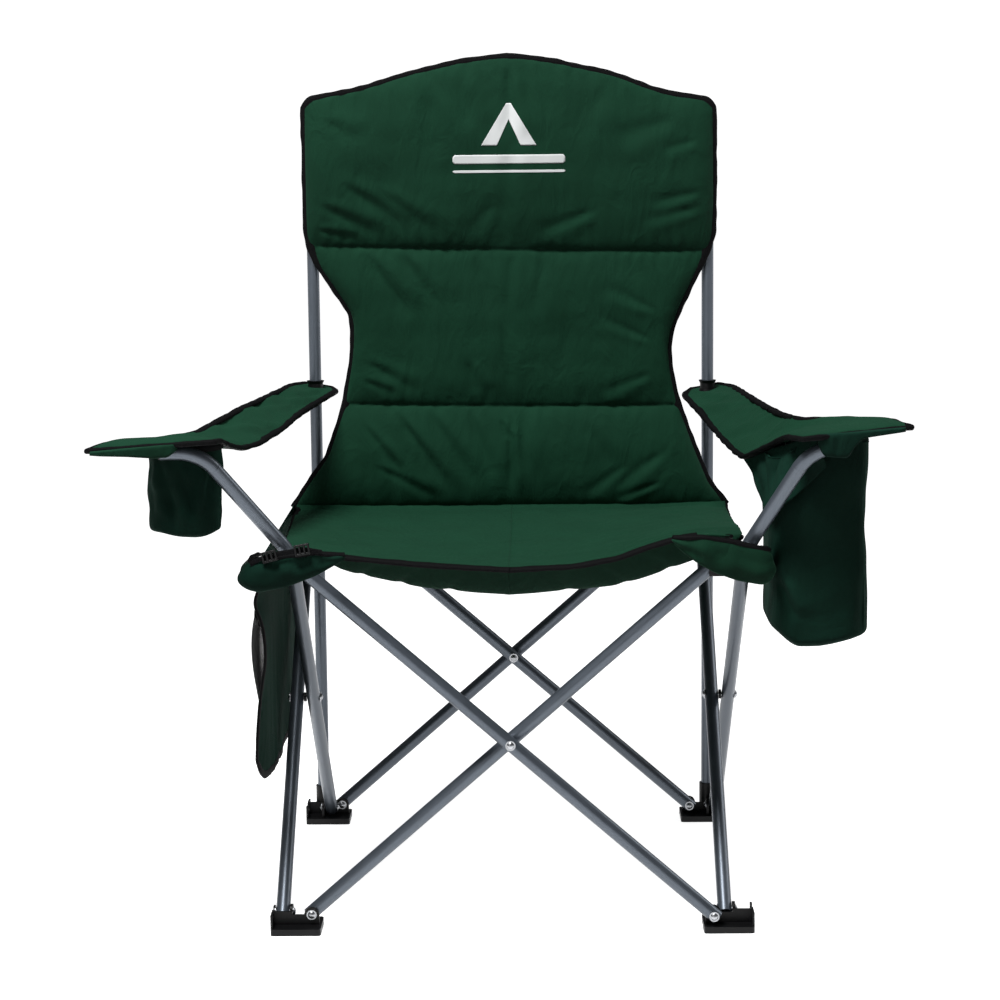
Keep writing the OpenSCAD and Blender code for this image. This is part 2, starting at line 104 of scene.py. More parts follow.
def unit_grid(columns, rows):
    """Two grids that run from 0 to 1, one over the columns and one over the rows."""
    return np.meshgrid(np.linspace(0, 1, columns), np.linspace(0, 1, rows))


def curve_through(points, softness=0.0):
    """A function of one variable through (at, value) points, with its corners rounded."""
    at, value = (np.array(column, float) for column in zip(*points))
    fine = np.linspace(at[0], at[-1], 600)
    line = np.interp(fine, at, value)
    if softness:
        reach = max(1, int(softness / (fine[1] - fine[0])))
        window = np.hanning(2 * reach + 3)[1:-1]
        padded = np.pad(line, reach, mode="reflect", reflect_type="odd")
        line = np.convolve(padded, window / window.sum(), mode="valid")
    return lambda x: np.interp(x, fine, line)


def ripple(p, q, wavelength, seed):
    """Soft irregular waviness, about -1 to 1, over two coordinates."""
    waves = 7
    rng = np.random.default_rng(seed)
    total = np.zeros(np.broadcast(p, q).shape)
    for _ in range(waves):
        turn = rng.uniform(-math.pi, math.pi)
        k = 2 * math.pi / wavelength * rng.uniform(0.6, 1.5)
        total += np.sin(k * (p * math.cos(turn) + q * math.sin(turn)) + rng.uniform(0, 2 * math.pi))
    return total / math.sqrt(waves) / 1.4


def crease(p, q, start, end, width, depth):
    """A fold line between two points: a valley with a soft ridge beside it, fading at its ends."""
    (p0, q0), (p1, q1) = start, end
    length = math.hypot(p1 - p0, q1 - q0)
    dp, dq = (p1 - p0) / length, (q1 - q0) / length
    along = ((p - p0) * dp + (q - q0) * dq) / length
    off = -(p - p0) * dq + (q - q0) * dp
    fade = smooth(along / 0.3) * smooth((1 - along) / 0.3)
    w = width * (0.55 + 0.9 * unit(along))
    return depth * fade * (0.75 * hump(off - 1.7 * w, 1.3 * w) - hump(off, w))


def creases(p, q, rows, gain=1.0):
    """All the fold lines of a table: where each starts and ends, its width and depth, in millimetres."""
    total = 0
    for p0, q0, p1, q1, width, depth in rows:
        total = total + crease(p, q, (p0 * MM, q0 * MM), (p1 * MM, q1 * MM), width * MM, gain * depth * MM)
    return total


def hump(offset, width):
    """1 where the offset is 0, falling to 0 on both sides."""
    return np.exp(-((offset / width) ** 2))


def rounded(v, power, root=1.0):
    """1 over the middle of 0..1, falling to 0 at both of its ends."""
    return unit(1 - np.abs(2 * v - 1) ** power) ** root


def signed_power(value, power):
    return np.sign(value) * np.abs(value) ** power


def unit_rows(v):
    return v / np.maximum(np.linalg.norm(v, axis=-1, keepdims=True), 1e-9)


def grid_normals(grid):
    return unit_rows(np.cross(np.gradient(grid, axis=0), np.gradient(grid, axis=1)))


# ---------------------------------------------------------------- materials


def new_material(name):
    material = bpy.data.materials.new(name)
    material.use_nodes = True
    nodes = material.node_tree.nodes
    return material, nodes, material.node_tree.links, nodes["Principled BSDF"]


def set_inputs(node, values):
    for name, value in values.items():
        node.inputs[name].default_value = value


def math_node(nodes, links, operation, a, b=None, c=None):
    node = nodes.new("ShaderNodeMath")
    node.operation = operation
    for socket, value in zip(node.inputs, (a, b, c)):
        if value is None:
            continue
        if isinstance(value, (int, float)):
            socket.default_value = value
        else:
            links.new(value, socket)
    return node.outputs[0]


def wave_pair(nodes, links, coords, pitch):
    """Height of a plain weave with the given thread pitch: two crossed sets of threads."""
    outs = []
    for direction in ("X", "Y"):
        wave = nodes.new("ShaderNodeTexWave")
        wave.bands_direction = direction
        set_inputs(wave, {"Scale": 0.314 / pitch, "Distortion": 0.6, "Detail": 1.0})
        links.new(coords, wave.inputs["Vector"])
        outs.append(wave.outputs["Fac"])
    return math_node(nodes, links, "MULTIPLY", outs[0], outs[1])


def noise(nodes, links, coords, scale, detail=3.0):
    node = nodes.new("ShaderNodeTexNoise")
    set_inputs(node, {"Scale": scale, "Detail": detail})
    links.new(coords, node.inputs["Vector"])
    return node.outputs["Fac"]


def tinted(nodes, links, colour, factor, low, high):
    """The colour times a factor that is mapped from 0..1 to low..high."""
    spread = nodes.new("ShaderNodeMapRange")
    set_inputs(spread, {"To Min": low, "To Max": high})
    links.new(factor, spread.inputs["Value"])
    scale = nodes.new("ShaderNodeVectorMath")
    scale.operation = "SCALE"
    scale.inputs[0].default_value = colour
    links.new(spread.outputs["Result"], scale.inputs["Scale"])
    return scale.outputs["Vector"]


def bump(nodes, links, bsdf, height, strength, distance):
    node = nodes.new("ShaderNodeBump")
    set_inputs(node, {"Strength": strength, "Distance": distance})
    links.new(height, node.inputs["Height"])
    links.new(node.outputs["Normal"], bsdf.inputs["Normal"])


def fabric(name, colour, roughness=0.80, sheen=0.07):
    """Plain woven polyester: a fine weave over soft rumples, both as bump."""
    thread_pitch, relief, rumple_depth = 1.0 * MM, 0.3 * MM, 9 * MM
    material, nodes, links, bsdf = new_material(name)
    coords = nodes.new("ShaderNodeUVMap").outputs["UV"]
    weave = wave_pair(nodes, links, coords, thread_pitch)
    blotch = noise(nodes, links, coords, 14.0)
    grain = noise(nodes, links, coords, 900.0, 2.0)
    mixed = math_node(nodes, links, "MULTIPLY_ADD", grain, 0.55,
                      math_node(nodes, links, "MULTIPLY", blotch, 0.6))
    links.new(tinted(nodes, links, colour, mixed, 0.72, 1.30), bsdf.inputs["Base Color"])
    set_inputs(bsdf, {"Roughness": roughness, "Specular IOR Level": 0.08, "Sheen Weight": sheen,
                      "Sheen Roughness": 0.45, "Sheen Tint": (0.30, 0.75, 0.5, 1)})
    stretch = nodes.new("ShaderNodeMapping")
    set_inputs(stretch, {"Scale": (1.0, 0.55, 1.0), "Rotation": (0, 0, 0.35)})
    links.new(coords, stretch.inputs["Vector"])
    rumple = nodes.new("ShaderNodeTexNoise")
    set_inputs(rumple, {"Scale": 26.0, "Detail": 3.0, "Distortion": 0.8})
    links.new(stretch.outputs["Vector"], rumple.inputs["Vector"])
    ridge = math_node(nodes, links, "ABSOLUTE",
                      math_node(nodes, links, "SUBTRACT", rumple.outputs["Fac"], 0.5))
    height = math_node(nodes, links, "MULTIPLY_ADD", ridge, rumple_depth / relief, weave)
    bump(nodes, links, bsdf, height, 0.5, relief)
    return material


def ribbed_tape(name, colour):
    material, nodes, links, bsdf = new_material(name)
    coords = nodes.new("ShaderNodeUVMap").outputs["UV"]
    weave = wave_pair(nodes, links, coords, 1.4 * MM)
    dust = noise(nodes, links, coords, 160.0)
    links.new(tinted(nodes, links, colour, dust, 0.6, 1.5), bsdf.inputs["Base Color"])
    set_inputs(bsdf, {"Roughness": 0.7, "Specular IOR Level": 0.08})
    bump(nodes, links, bsdf, weave, 0.6, 0.4 * MM)
    return material


def painted_steel(name, colour):
    material, nodes, links, bsdf = new_material(name)
    coords = nodes.new("ShaderNodeTexCoord").outputs["Object"]
    peel = noise(nodes, links, coords, 900.0, 2.0)
    wear = noise(nodes, links, coords, 30.0, 4.0)
    links.new(tinted(nodes, links, colour, wear, 0.85, 1.15), bsdf.inputs["Base Color"])
    bsdf.inputs["Metallic"].default_value = 0.55
    rough = nodes.new("ShaderNodeMapRange")
    set_inputs(rough, {"To Min": 0.30, "To Max": 0.46})
    links.new(wear, rough.inputs["Value"])
    links.new(rough.outputs["Result"], bsdf.inputs["Roughness"])
    set_inputs(bsdf, {"Coat Weight": 0.15, "Coat Roughness": 0.25})
    bump(nodes, links, bsdf, peel, 0.12, 0.2 * MM)
    return material


def moulded_plastic(name, colour):
    material, nodes, links, bsdf = new_material(name)
    coords = nodes.new("ShaderNodeTexCoord").outputs["Object"]
    texture = noise(nodes, links, coords, 1400.0, 2.0)
    scuffs = noise(nodes, links, coords, 60.0, 5.0)
    links.new(tinted(nodes, links, colour, scuffs, 0.7, 1.6), bsdf.inputs["Base Color"])
    set_inputs(bsdf, {"Roughness": 0.42, "Specular IOR Level": 0.22})
    bump(nodes, links, bsdf, texture, 0.25, 0.15 * MM)
    return material


def zinc(name):
    material, nodes, links, bsdf = new_material(name)
    coords = nodes.new("ShaderNodeTexCoord").outputs["Object"]
    grain = noise(nodes, links, coords, 700.0, 4.0)
    links.new(tinted(nodes, links, (0.42, 0.43, 0.45), grain, 0.8, 1.1), bsdf.inputs["Base Color"])
    set_inputs(bsdf, {"Metallic": 1.0, "Roughness": 0.33})
    bump(nodes, links, bsdf, grain, 0.1, 0.1 * MM)
    return material


def plain(name, colour, roughness):
    material, _, _, bsdf = new_material(name)
    set_inputs(bsdf, {"Base Color": (*colour, 1), "Roughness": roughness})
    return material


GREEN = (0.0064, 0.0405, 0.0205)
# Painted shade: the same green cloth made darker, for the cooler bag, its lid and flap, the cup holder, the
# side organiser, the post sleeves, the left corner pocket and the right armrest roll
GREEN_PAINTED_SHADE = (0.0058, 0.0320, 0.0205)
BLACK = (0.0028, 0.0028, 0.0033)

green = fabric("green polyester", GREEN)
# The green polyester again, darker as painted shade, rougher and without sheen
shaded_green = fabric("green polyester with painted shade", GREEN_PAINTED_SHADE, roughness=0.9, sheen=0.0)
tape = ribbed_tape("black binding tape", BLACK)
webbing = ribbed_tape("black webbing", (0.006, 0.006, 0.007))
steel = painted_steel("blue grey powder coat", (0.112, 0.132, 0.160))
plastic = moulded_plastic("black plastic", (0.0045, 0.0045, 0.005))
rivet_zinc = zinc("zinc plated steel")
print_ink = plain("white screen print", (0.80, 0.82, 0.82), 0.6)
thread = plain("dark thread", (0.006, 0.03, 0.018), 0.7)
net_cord = plain("black knitted net", (0.03, 0.03, 0.033), 0.6)

FRAME_LOOKS = {
    "rivet": (rivet_zinc, "rivet"), "spacer": (plastic, "plastic"), "plug": (plastic, "plastic"),
    "cap": (plastic, "plastic"), "collar": (plastic, "plastic"), "foot_": (plastic, "plastic"),
    "slider_": (plastic, "plastic"), "front_corner": (plastic, "plastic"), "brace": (steel, "tube"),
    "strut": (steel, "tube"), "tube": (steel, "tube"), "post": (steel, "tube"),
}
for node_name, node_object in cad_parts.items():
    for word, (look, slot_name) in FRAME_LOOKS.items():
        if word in node_name:
            node_object.data.materials.clear()
            node_object.data.materials.append(look)
            break

# ---------------------------------------------------------------- mesh helpers


def make(name, vertices, faces, material, uvs=None, smooth_faces=True):
    """A mesh object. uvs gives one (u, v) in metres for each vertex."""
    name = name.replace(" ", "_")
    data = bpy.data.meshes.new(name)
    vertices = np.asarray(vertices, float).reshape(-1, 3)
    data.from_pydata(vertices.tolist(), [], [list(f) for f in faces])
    if uvs is None:
        uvs = vertices[:, [0, 2]]
    loops = np.empty(len(data.loops), int)
    data.loops.foreach_get("vertex_index", loops)
    layer = data.uv_layers.new(name="UVMap")
    layer.data.foreach_set("uv", np.asarray(uvs, float).reshape(-1, 2)[loops].ravel())
    data.polygons.foreach_set("use_smooth", [smooth_faces] * len(data.polygons))
    data.materials.append(material)
    data.update()
    made = bpy.data.objects.new(name, data)
    bpy.context.scene.collection.objects.link(made)
    return made


def grid_faces(rows, columns, start=0, closed=False, flip=False):
    index = start + np.arange(rows * columns).reshape(rows, columns)
    if closed:
        index = np.concatenate([index, index[:, :1]], axis=1)
    quads = np.stack([index[:-1, :-1], index[1:, :-1], index[1:, 1:], index[:-1, 1:]], -1).reshape(-1, 4)
    return (quads[:, ::-1] if flip else quads).tolist()


def joined(name, objects):
    """One object out of several, with all their materials."""
    bpy.ops.object.select_all(action="DESELECT")
    for o in objects:
        o.select_set(True)
    bpy.context.view_layer.objects.active = objects[0]
    bpy.ops.object.join()
    objects[0].name = name.replace(" ", "_")
    return objects[0]


def pad(name, front, back, material, uv=None):
    """A closed form between two grids of the same shape that share an outline. Normals of the front
    grid point away from the back grid."""
    rows, columns = front.shape[:2]
    faces = grid_faces(rows, columns) + grid_faces(rows, columns, rows * columns, flip=True)
    index = np.arange(rows * columns).reshape(rows, columns)
    rim = np.concatenate([index[0, :-1], index[:-1, -1], index[-1, :0:-1], index[:0:-1, 0]])
    after = np.roll(rim, -1)
    other = rows * columns
    faces += [[a, b, b + other, a + other] for a, b in zip(rim.tolist(), after.tolist())]
    uv_one = (front[..., [0, 2]] if uv is None else uv).reshape(-1, 2)
    vertices = np.concatenate([front.reshape(-1, 3), back.reshape(-1, 3)])
    return make(name, vertices, faces, material, np.concatenate([uv_one, uv_one]))


def cloth(name, grid, material, thickness=1.1 * MM, uv=None, inward=1):
    """A sheet of cloth over a grid, with a real thickness on one side of it."""
    other = grid - inward * thickness * grid_normals(grid)
    if inward > 0:
        return pad(name, grid, other, material, uv)
    return pad(name, other, grid, material, uv)


def shell(name, outer, inner, uv, material):
    """Two walls between closed rings of points, joined along the first ring, which is the mouth."""
    rows, columns = outer.shape[:2]
    half = rows * columns
    faces = grid_faces(rows, columns, closed=True) + grid_faces(rows, columns, half, closed=True, flip=True)
    faces += [[i, (i + 1) % columns, half + (i + 1) % columns, half + i][::-1] for i in range(columns)]
    vertices = np.concatenate([outer.reshape(-1, 3), inner.reshape(-1, 3)])
    return make(name, vertices, faces, material, np.concatenate([uv.reshape(-1, 2)] * 2))


def resampled(points, step):
    points = np.asarray(points, float)
    lengths = np.r_[0, np.cumsum(np.linalg.norm(np.diff(points, axis=0), axis=1))]
    at = np.linspace(0, lengths[-1], max(3, int(lengths[-1] / step)))
    return np.stack([np.interp(at, lengths, points[:, k]) for k in range(3)], -1), at


def framed_path(points, normals, step):
    """Evenly spaced points along a line, their distance along it and the cloth's normal at each."""
    points = np.asarray(points, float)
    normals = np.broadcast_to(np.asarray(normals, float), points.shape)
    path, at = resampled(points, step)
    lengths = np.r_[0, np.cumsum(np.linalg.norm(np.diff(points, axis=0), axis=1))]
    face = unit_rows(np.stack([np.interp(at, lengths, normals[:, k]) for k in range(3)], -1))
    return path, at, face


def band(name, points, normals, material, width=11 * MM, thickness=3.6 * MM, inset=0.30, seed=1,
         wobble=0.45 * MM, inward=None):
    """Tape folded over an edge: a flattened round section swept along the edge. normals are the
    cloth's, and inset is how much of the width stands outside the edge."""
    path, at, face = framed_path(points, normals, 3.0 * MM)
    tangent = unit_rows(np.gradient(path, axis=0))
    across = unit_rows(np.cross(tangent, face))
    if inward is not None:
        flips = np.sign(np.sum(across * (np.asarray(inward) - path), axis=1))
        across = across * np.where(flips == 0, 1, flips)[:, None]
    face = unit_rows(np.cross(across, tangent))
    count = 12
    turn = np.linspace(0, 2 * math.pi, count, endpoint=False)
    ring = np.stack([signed_power(np.cos(turn), 0.7), signed_power(np.sin(turn), 0.8)], -1)
    drift = wobble * ripple(at, 0 * at, 45 * MM, seed)
    swell = 1 + 0.10 * ripple(at, 0 * at, 28 * MM, seed + 50)
    centre = path + across * (width * (0.5 - inset) + drift)[:, None]
    section = (ring[None, :, :1] * (width / 2 * swell)[:, None, None] * across[:, None, :]
               + ring[None, :, 1:] * (thickness / 2 * swell)[:, None, None] * face[:, None, :])
    vertices = centre[:, None, :] + section
    rows = len(path)
    faces = grid_faces(rows, count, closed=True)
    faces += [list(range(count))[::-1], [(rows - 1) * count + i for i in range(count)]]
    round_it = np.tile(turn / (2 * math.pi) * 2 * width, (rows, 1))
    uv = np.stack([np.repeat(at[:, None], count, 1), round_it], -1)
    made = make(name, vertices, faces, material, uv)
    for polygon in list(made.data.polygons)[-2:]:
        polygon.use_smooth = False
    return made


def stitches(name, points, normals):
    """A row of sewn stitches lying on the cloth along a line."""
    stitch, gap, radius = 4.0 * MM, 1.4 * MM, 0.42 * MM
    path, at, face = framed_path(points, normals, 0.5 * MM)
    vertices, faces = [], []
    start = 0.0
    while start + stitch < at[-1]:
        ends = [np.searchsorted(at, start + f * stitch) for f in (0, 0.15, 0.85, 1)]
        ends = [min(e, len(path) - 1) for e in ends]
        tangent = path[ends[3]] - path[ends[0]]
        tangent /= max(np.linalg.norm(tangent), 1e-9)
        normal = face[ends[1]]
        side = np.cross(tangent, normal)
        base = len(vertices)
        for e, lift in zip(ends, (-0.6, 0.6, 0.6, -0.6)):
            for a, b in ((1, 0), (0, 1), (-1, 0), (0, -1)):
                vertices.append(path[e] + radius * (a * side + (b + lift) * normal))
        for ring in (base, base + 4, base + 8):
            for c in range(4):
                d = (c + 1) % 4
                faces.append([ring + c, ring + d, ring + 4 + d, ring + 4 + c])
        start += stitch + gap
    return make(name, vertices, faces, thread)


# ---------------------------------------------------------------- back

BACK_REAR_Y = back_hi[1] - 1 * MM
BACK_LEFT_EDGE = [(0.438, -0.297), (0.446, -0.293), (0.483, -0.268), (0.511, -0.248), (0.553, -0.2335),
                  (0.577, -0.226), (0.637, -0.2150), (0.667, -0.2120), (0.691, -0.2120),
                  (0.706, -0.2150), (0.722, -0.2240), (0.770, -0.2560), (0.796, -0.2690),
                  (0.814, -0.2730), (1.060, -0.2735)]
BACK_RIGHT_EDGE = [(0.438, 0.292), (0.447, 0.284), (0.470, 0.266), (0.520, 0.2455), (0.569, 0.2285),
                   (0.593, 0.2205), (0.625, 0.2145), (0.655, 0.2120), (0.680, 0.2160), (0.711, 0.2275),
                   (0.754, 0.2480), (0.788, 0.2655), (0.806, 0.2715), (0.850, 0.2735), (1.060, 0.2725)]
left_edge = curve_through(BACK_LEFT_EDGE, 0.012)
right_edge = curve_through(BACK_RIGHT_EDGE, 0.012)
BACK_LOW = back_lo[2] - 1 * MM
SHOULDER_Z = back_hi[2] - 0.070
CHANNELS = [BACK_LOW, 0.580, 0.793]


def channel_height(k, s):
    """Height of a seam across the back, which droops a little toward the right."""
    return CHANNELS[k] - (0.005 if k == 1 else 0.011) * (s + 1) / 2 - 0.002 * (1 - s ** 2)


ARCH_ROUND = 0.035
arch_left = curve_through([(0, 0.003), (0.066, 0.012), (0.133, 0.027), (0.200, 0.047), (0.242, 0.0545),
                           (0.270, 0.0600), (0.300, 0.0680)], 0.02)
arch_right = curve_through([(0, 0.003), (0.066, 0.0135), (0.140, 0.030), (0.191, 0.050), (0.223, 0.0585),
                            (0.255, 0.0625), (0.300, 0.0700)], 0.02)


def back_top(x):
    """Height of the arched upper edge, rounded over its middle."""
    out = np.where(np.abs(x) < ARCH_ROUND, x * x / (2 * ARCH_ROUND) + ARCH_ROUND / 2, np.abs(x))
    return back_hi[2] - np.where(x < 0, arch_left(out), arch_right(out))


def back_rear(z):
    """The back hangs from the posts at the top and comes forward to the seat at the bottom."""
    return BACK_REAR_Y - 0.019 * smooth((0.70 - z) / 0.26)


BACK_CREASES = [
    (0, 575, -1, 450, 5, 2.6), (-14, 560, -4, 530, 4, 1.6), (-160, 575, -75, 452, 7, 2.2),
    (-120, 580, -35, 455, 9, 1.9), (-205, 560, -135, 470, 6, 1.7), (-60, 575, -22, 470, 8, 1.5),
    (-190, 500, -90, 448, 6, 1.4), (20, 580, 15, 480, 9, 1.2), (215, 520, 120, 455, 8, 1.7),
    (160, 500, 90, 452, 7, 1.5), (205, 475, 130, 446, 5, 1.3), (90, 560, 150, 480, 10, 1.0),
    (4, 790, -4, 700, 7, 1.6), (-12, 690, 4, 590, 8, 1.5), (-200, 790, -130, 690, 10, 2.2),
    (-150, 790, -100, 710, 8, 1.5), (-50, 780, -20, 690, 11, 1.3), (50, 790, 30, 690, 9, 1.2),
    (200, 700, 120, 740, 7, 1.3), (195, 660, 110, 700, 6, 1.1), (-200, 640, -120, 592, 7, 1.4),
    (-205, 615, -150, 590, 5, 1.2), (-60, 640, -45, 590, 8, 1.4), (195, 620, 110, 590, 7, 1.2),
    (0, 1035, 4, 930, 8, 2.2), (2, 930, -2, 810, 14, 1.5), (-110, 1000, -90, 900, 16, 2.2),
    (-70, 1020, -50, 940, 12, 1.3), (-260, 850, -165, 803, 8, 1.8), (-230, 880, -120, 805, 9, 1.9),
    (-180, 870, -90, 803, 8, 1.4), (-262, 815, -200, 800, 5, 1.2), (262, 862, 180, 845, 7, 1.4),
    (262, 842, 170, 822, 7, 1.3), (120, 840, 30, 806, 8, 1.5), (230, 960, 130, 930, 12, 1.6),
    (255, 930, 200, 915, 6, 1.0), (-250, 960, -190, 930, 9, 1.3), (130, 1000, 80, 930, 14, 1.3),
    (-20, 850, -60, 802, 9, 1.2),
]


def back_relief(x, z, s):
    """How far the padded front stands in front of the rear face. s runs from -1 to 1 across."""
    bounds = [np.full_like(x, CHANNELS[0]), channel_height(1, s), channel_height(2, s), back_top(x)]
    full = (15.0 * MM, 14.5 * MM, 16.5 * MM)
    relief = np.full_like(x, 2.0 * MM)
    for low, high, height in zip(bounds[:-1], bounds[1:], full):
        u = unit((z - low) / np.maximum(high - low, 1e-6))
        sag = u ** 0.88
        relief = relief + height * rounded(sag, 2.4, 0.62)
        for edge in (low, high):
            near = np.exp(-np.abs(z - edge) / (16 * MM))
            pucker = ripple(x, 0 * x, 23 * MM, int(1000 * height) + int(1e4 * float(np.mean(edge))))
            relief = relief + 1.5 * MM * pucker * near * unit(u * (1 - u) * 30)
    side = unit(1 - np.abs(s) ** 18) ** 0.6
    detail = 1.6 * MM * ripple(x, 0.45 * z, 95 * MM, 11) + 0.7 * MM * ripple(x, 0.6 * z, 38 * MM, 12)
    detail = detail + 0.16 * MM * ripple(x, 0.3 * z, 15 * MM, 13)
    detail = detail + creases(x, z, BACK_CREASES, 1.55)
    thick = unit((relief - 3 * MM) / (6 * MM))
    return 2.4 * MM + (relief - 2.4 * MM) * side + detail * side * thick


def back_surface(s, t):
    """Front and rear points for s from -1 to 1 across and t from 0 to 1 up."""
    rough_z = BACK_LOW + t * (SHOULDER_Z - BACK_LOW)
    x = np.where(s < 0, -s * left_edge(rough_z), s * right_edge(rough_z))
    z = BACK_LOW + t * (back_top(x) - BACK_LOW)
    below = np.minimum(z, SHOULDER_Z)
    x = np.where(s < 0, -s * left_edge(below), s * right_edge(below))
    corner = unit((np.abs(s) - 0.955) / 0.045) ** 2
    z = BACK_LOW + t * (back_top(x) - BACK_LOW - 9 * MM * corner)
    rear = back_rear(z)
    front = np.stack([x, rear - back_relief(x, z, s), z], -1)
    behind = np.stack([x, rear - 0.8 * MM + 0 * x, z], -1)
    return front, behind


def back_front_y(x, z):
    width = np.where(x < 0, -left_edge(z), right_edge(z))
    return back_rear(z) - back_relief(x, z, x / width)


rows, columns = 290, 210
s_line = np.sin(np.linspace(-math.pi / 2, math.pi / 2, columns)) * 0.35 + np.linspace(-1, 1, columns) * 0.65
s_grid, t_grid = np.meshgrid(s_line, np.linspace(0, 1, rows))
back_front, back_behind = back_surface(s_grid, t_grid)
back = pad("back pad", back_front, back_behind, green)


def rim_of(grid, part):
    return {"left": grid[:, 0], "right": grid[:, -1], "top": grid[-1], "bottom": grid[0]}[part]


def middle(front, behind):
    return (front + behind) / 2


back_rim = np.concatenate([
    middle(rim_of(back_front, "left"), rim_of(back_behind, "left")),
    middle(rim_of(back_front, "top"), rim_of(back_behind, "top"))[1:],
    middle(rim_of(back_front, "right"), rim_of(back_behind, "right"))[::-1][1:]])
back_binding = band("back binding", back_rim, (0, -1, 0), tape, width=11.5 * MM, thickness=5.0 * MM,
                    inset=0.42, seed=3, inward=(0, 0.27, 0.72))

channel_lines = []
for k in range(2):
    x = np.linspace(-0.96, 0.96, 160)
    z_line = channel_height(k + 1, x)
    xs = np.where(x < 0, -x * left_edge(z_line), x * right_edge(z_line))
    line = np.stack([xs, back_rear(z_line) - back_relief(xs, z_line, x) - 0.1 * MM, z_line], -1)
    channel_lines.append(stitches(f"channel stitches {k}", line, (0, -1, 0)))
back_stitches = joined("back stitches", channel_lines)

# A plain printed motif: a tent over two bars
MOTIF_X, MOTIF_Z = 0.0, 0.950


def printed(name, x_grid, z_grid):
    y = back_front_y(x_grid, z_grid) - 0.45 * MM
    grid = np.stack([x_grid, y, z_grid], -1)
    behind = grid + np.array([0, 0.3 * MM, 0])
    return pad(name, grid, behind, print_ink)


def bar(name, width, height, x, z):
    u, v = np.meshgrid(np.linspace(-1, 1, 60), np.linspace(-1, 1, 8))
    squeeze = 1 - 0.04 * np.abs(v) ** 4
    return printed(name, x + u * width / 2 * squeeze, z + v * height / 2)


def tent(side):
    u, v = unit_grid(30, 30)
    inner = 0.016 * unit(1 - v / 0.62)
    outer = 0.034 * (1 - v) + 0.003
    x = MOTIF_X + side * (inner + u * (outer - inner))
    z = MOTIF_Z - 0.026 + 0.056 * v
    return printed("tent half", x if side > 0 else x[:, ::-1], z)


motif = joined("printed tent motif", [
    tent(LEFT), tent(RIGHT), bar("bar", 0.150, 0.012, MOTIF_X, MOTIF_Z - 0.044),
    bar("thin bar", 0.150, 0.0035, MOTIF_X, MOTIF_Z - 0.060)])

# Sleeves behind the shoulders that slip over the posts
SLEEVE_LOW = 0.812
sleeves = {}
for name, side in SIDES.items():
    z = np.linspace(SLEEVE_LOW, SHOULDER_Z - 0.006, 60)
    turn = np.linspace(0, 1, 26)
    tt, zz = np.meshgrid(turn, z)
    around = POST_R + 2.2 * MM + 0.7 * MM * ripple(tt * 0.05, zz, 30 * MM, 21 + side)
    angle = math.radians(-62) + math.radians(235) * tt
    x = POST_X + around * np.cos(angle)
    y = POST_Y + around * np.sin(angle)
    flat = smooth((tt - 0.82) / 0.18)
    x = x * (1 - flat) + (POST_X - 0.024) * flat
    y = y * (1 - flat) + (BACK_REAR_Y + 1.4 * MM) * flat
    grid = np.stack([side * x, y, zz], -1)
    if side < 0:
        grid = grid[:, ::-1]
    # The sleeves are in the darker green of painted shade
    sleeves[name] = cloth(f"post sleeve {name}", grid, shaded_green, uv=np.stack([tt * 0.06, zz], -1), inward=-1)

# ---------------------------------------------------------------- seat

SEAT_REAR = seat_hi[1] + 6 * MM
SEAT_FRONT = seat_lo[1]


def seat_edge_x(side, y):
    """Half of the seat's width: wide behind, and inside the arm tube at the front corner."""
    back_x, front_x = (0.292, 0.266) if side < 0 else (0.288, 0.276)
    notch = 0.241 if side < 0 else 0.258
    x = back_x + (front_x - back_x) * (SEAT_REAR - y) / (SEAT_REAR - SEAT_FRONT)
    near = smooth((FRONT_CORNER_Y + 0.040 - y) / 0.030)
    return x + (notch - x) * near


seat_rise_left = curve_through([(0, 0.0), (0.095, 0.006), (0.184, 0.015), (0.242, 0.025), (0.31, 0.026)],
                               0.02)
seat_rise_right = curve_through([(0, 0.0), (0.075, 0.003), (0.129, 0.013), (0.161, 0.025),
                                 (0.205, 0.038), (0.230, 0.041), (0.31, 0.036)], 0.02)
seat_fall_left = curve_through([(0, 0.034), (0.096, 0.031), (0.182, 0.021), (0.215, 0.015),
                                (0.245, 0.010), (0.31, 0.004)], 0.015)
seat_fall_right = curve_through([(0, 0.034), (0.075, 0.031), (0.130, 0.036), (0.161, 0.038),
                                 (0.205, 0.035), (0.232, 0.029), (0.258, 0.022), (0.31, 0.010)], 0.015)


def seat_front_z(x):
    """Height of the bound front edge, low in the middle and lifted over the corners."""
    return SEAT_TOP + np.where(x < 0, seat_rise_left(np.abs(x)), seat_rise_right(np.abs(x)))


def seat_drop(x):
    """How far the underside hangs below the front edge."""
    return np.where(x < 0, seat_fall_left(np.abs(x)), seat_fall_right(np.abs(x)))


SEAT_CREASES = [
    (0, 240, 2, -200, 5, 0.9), (-100, -225, -230, -200, 7, 1.2), (80, -215, 220, -190, 9, 1.8),
    (120, -180, 240, -120, 12, 1.6), (-250, 200, -150, 245, 8, 1.5), (260, 150, 170, 235, 10, 2.0),
    (265, 60, 180, 200, 10, 1.6), (-240, -150, -150, -60, 12, 1.1),
]


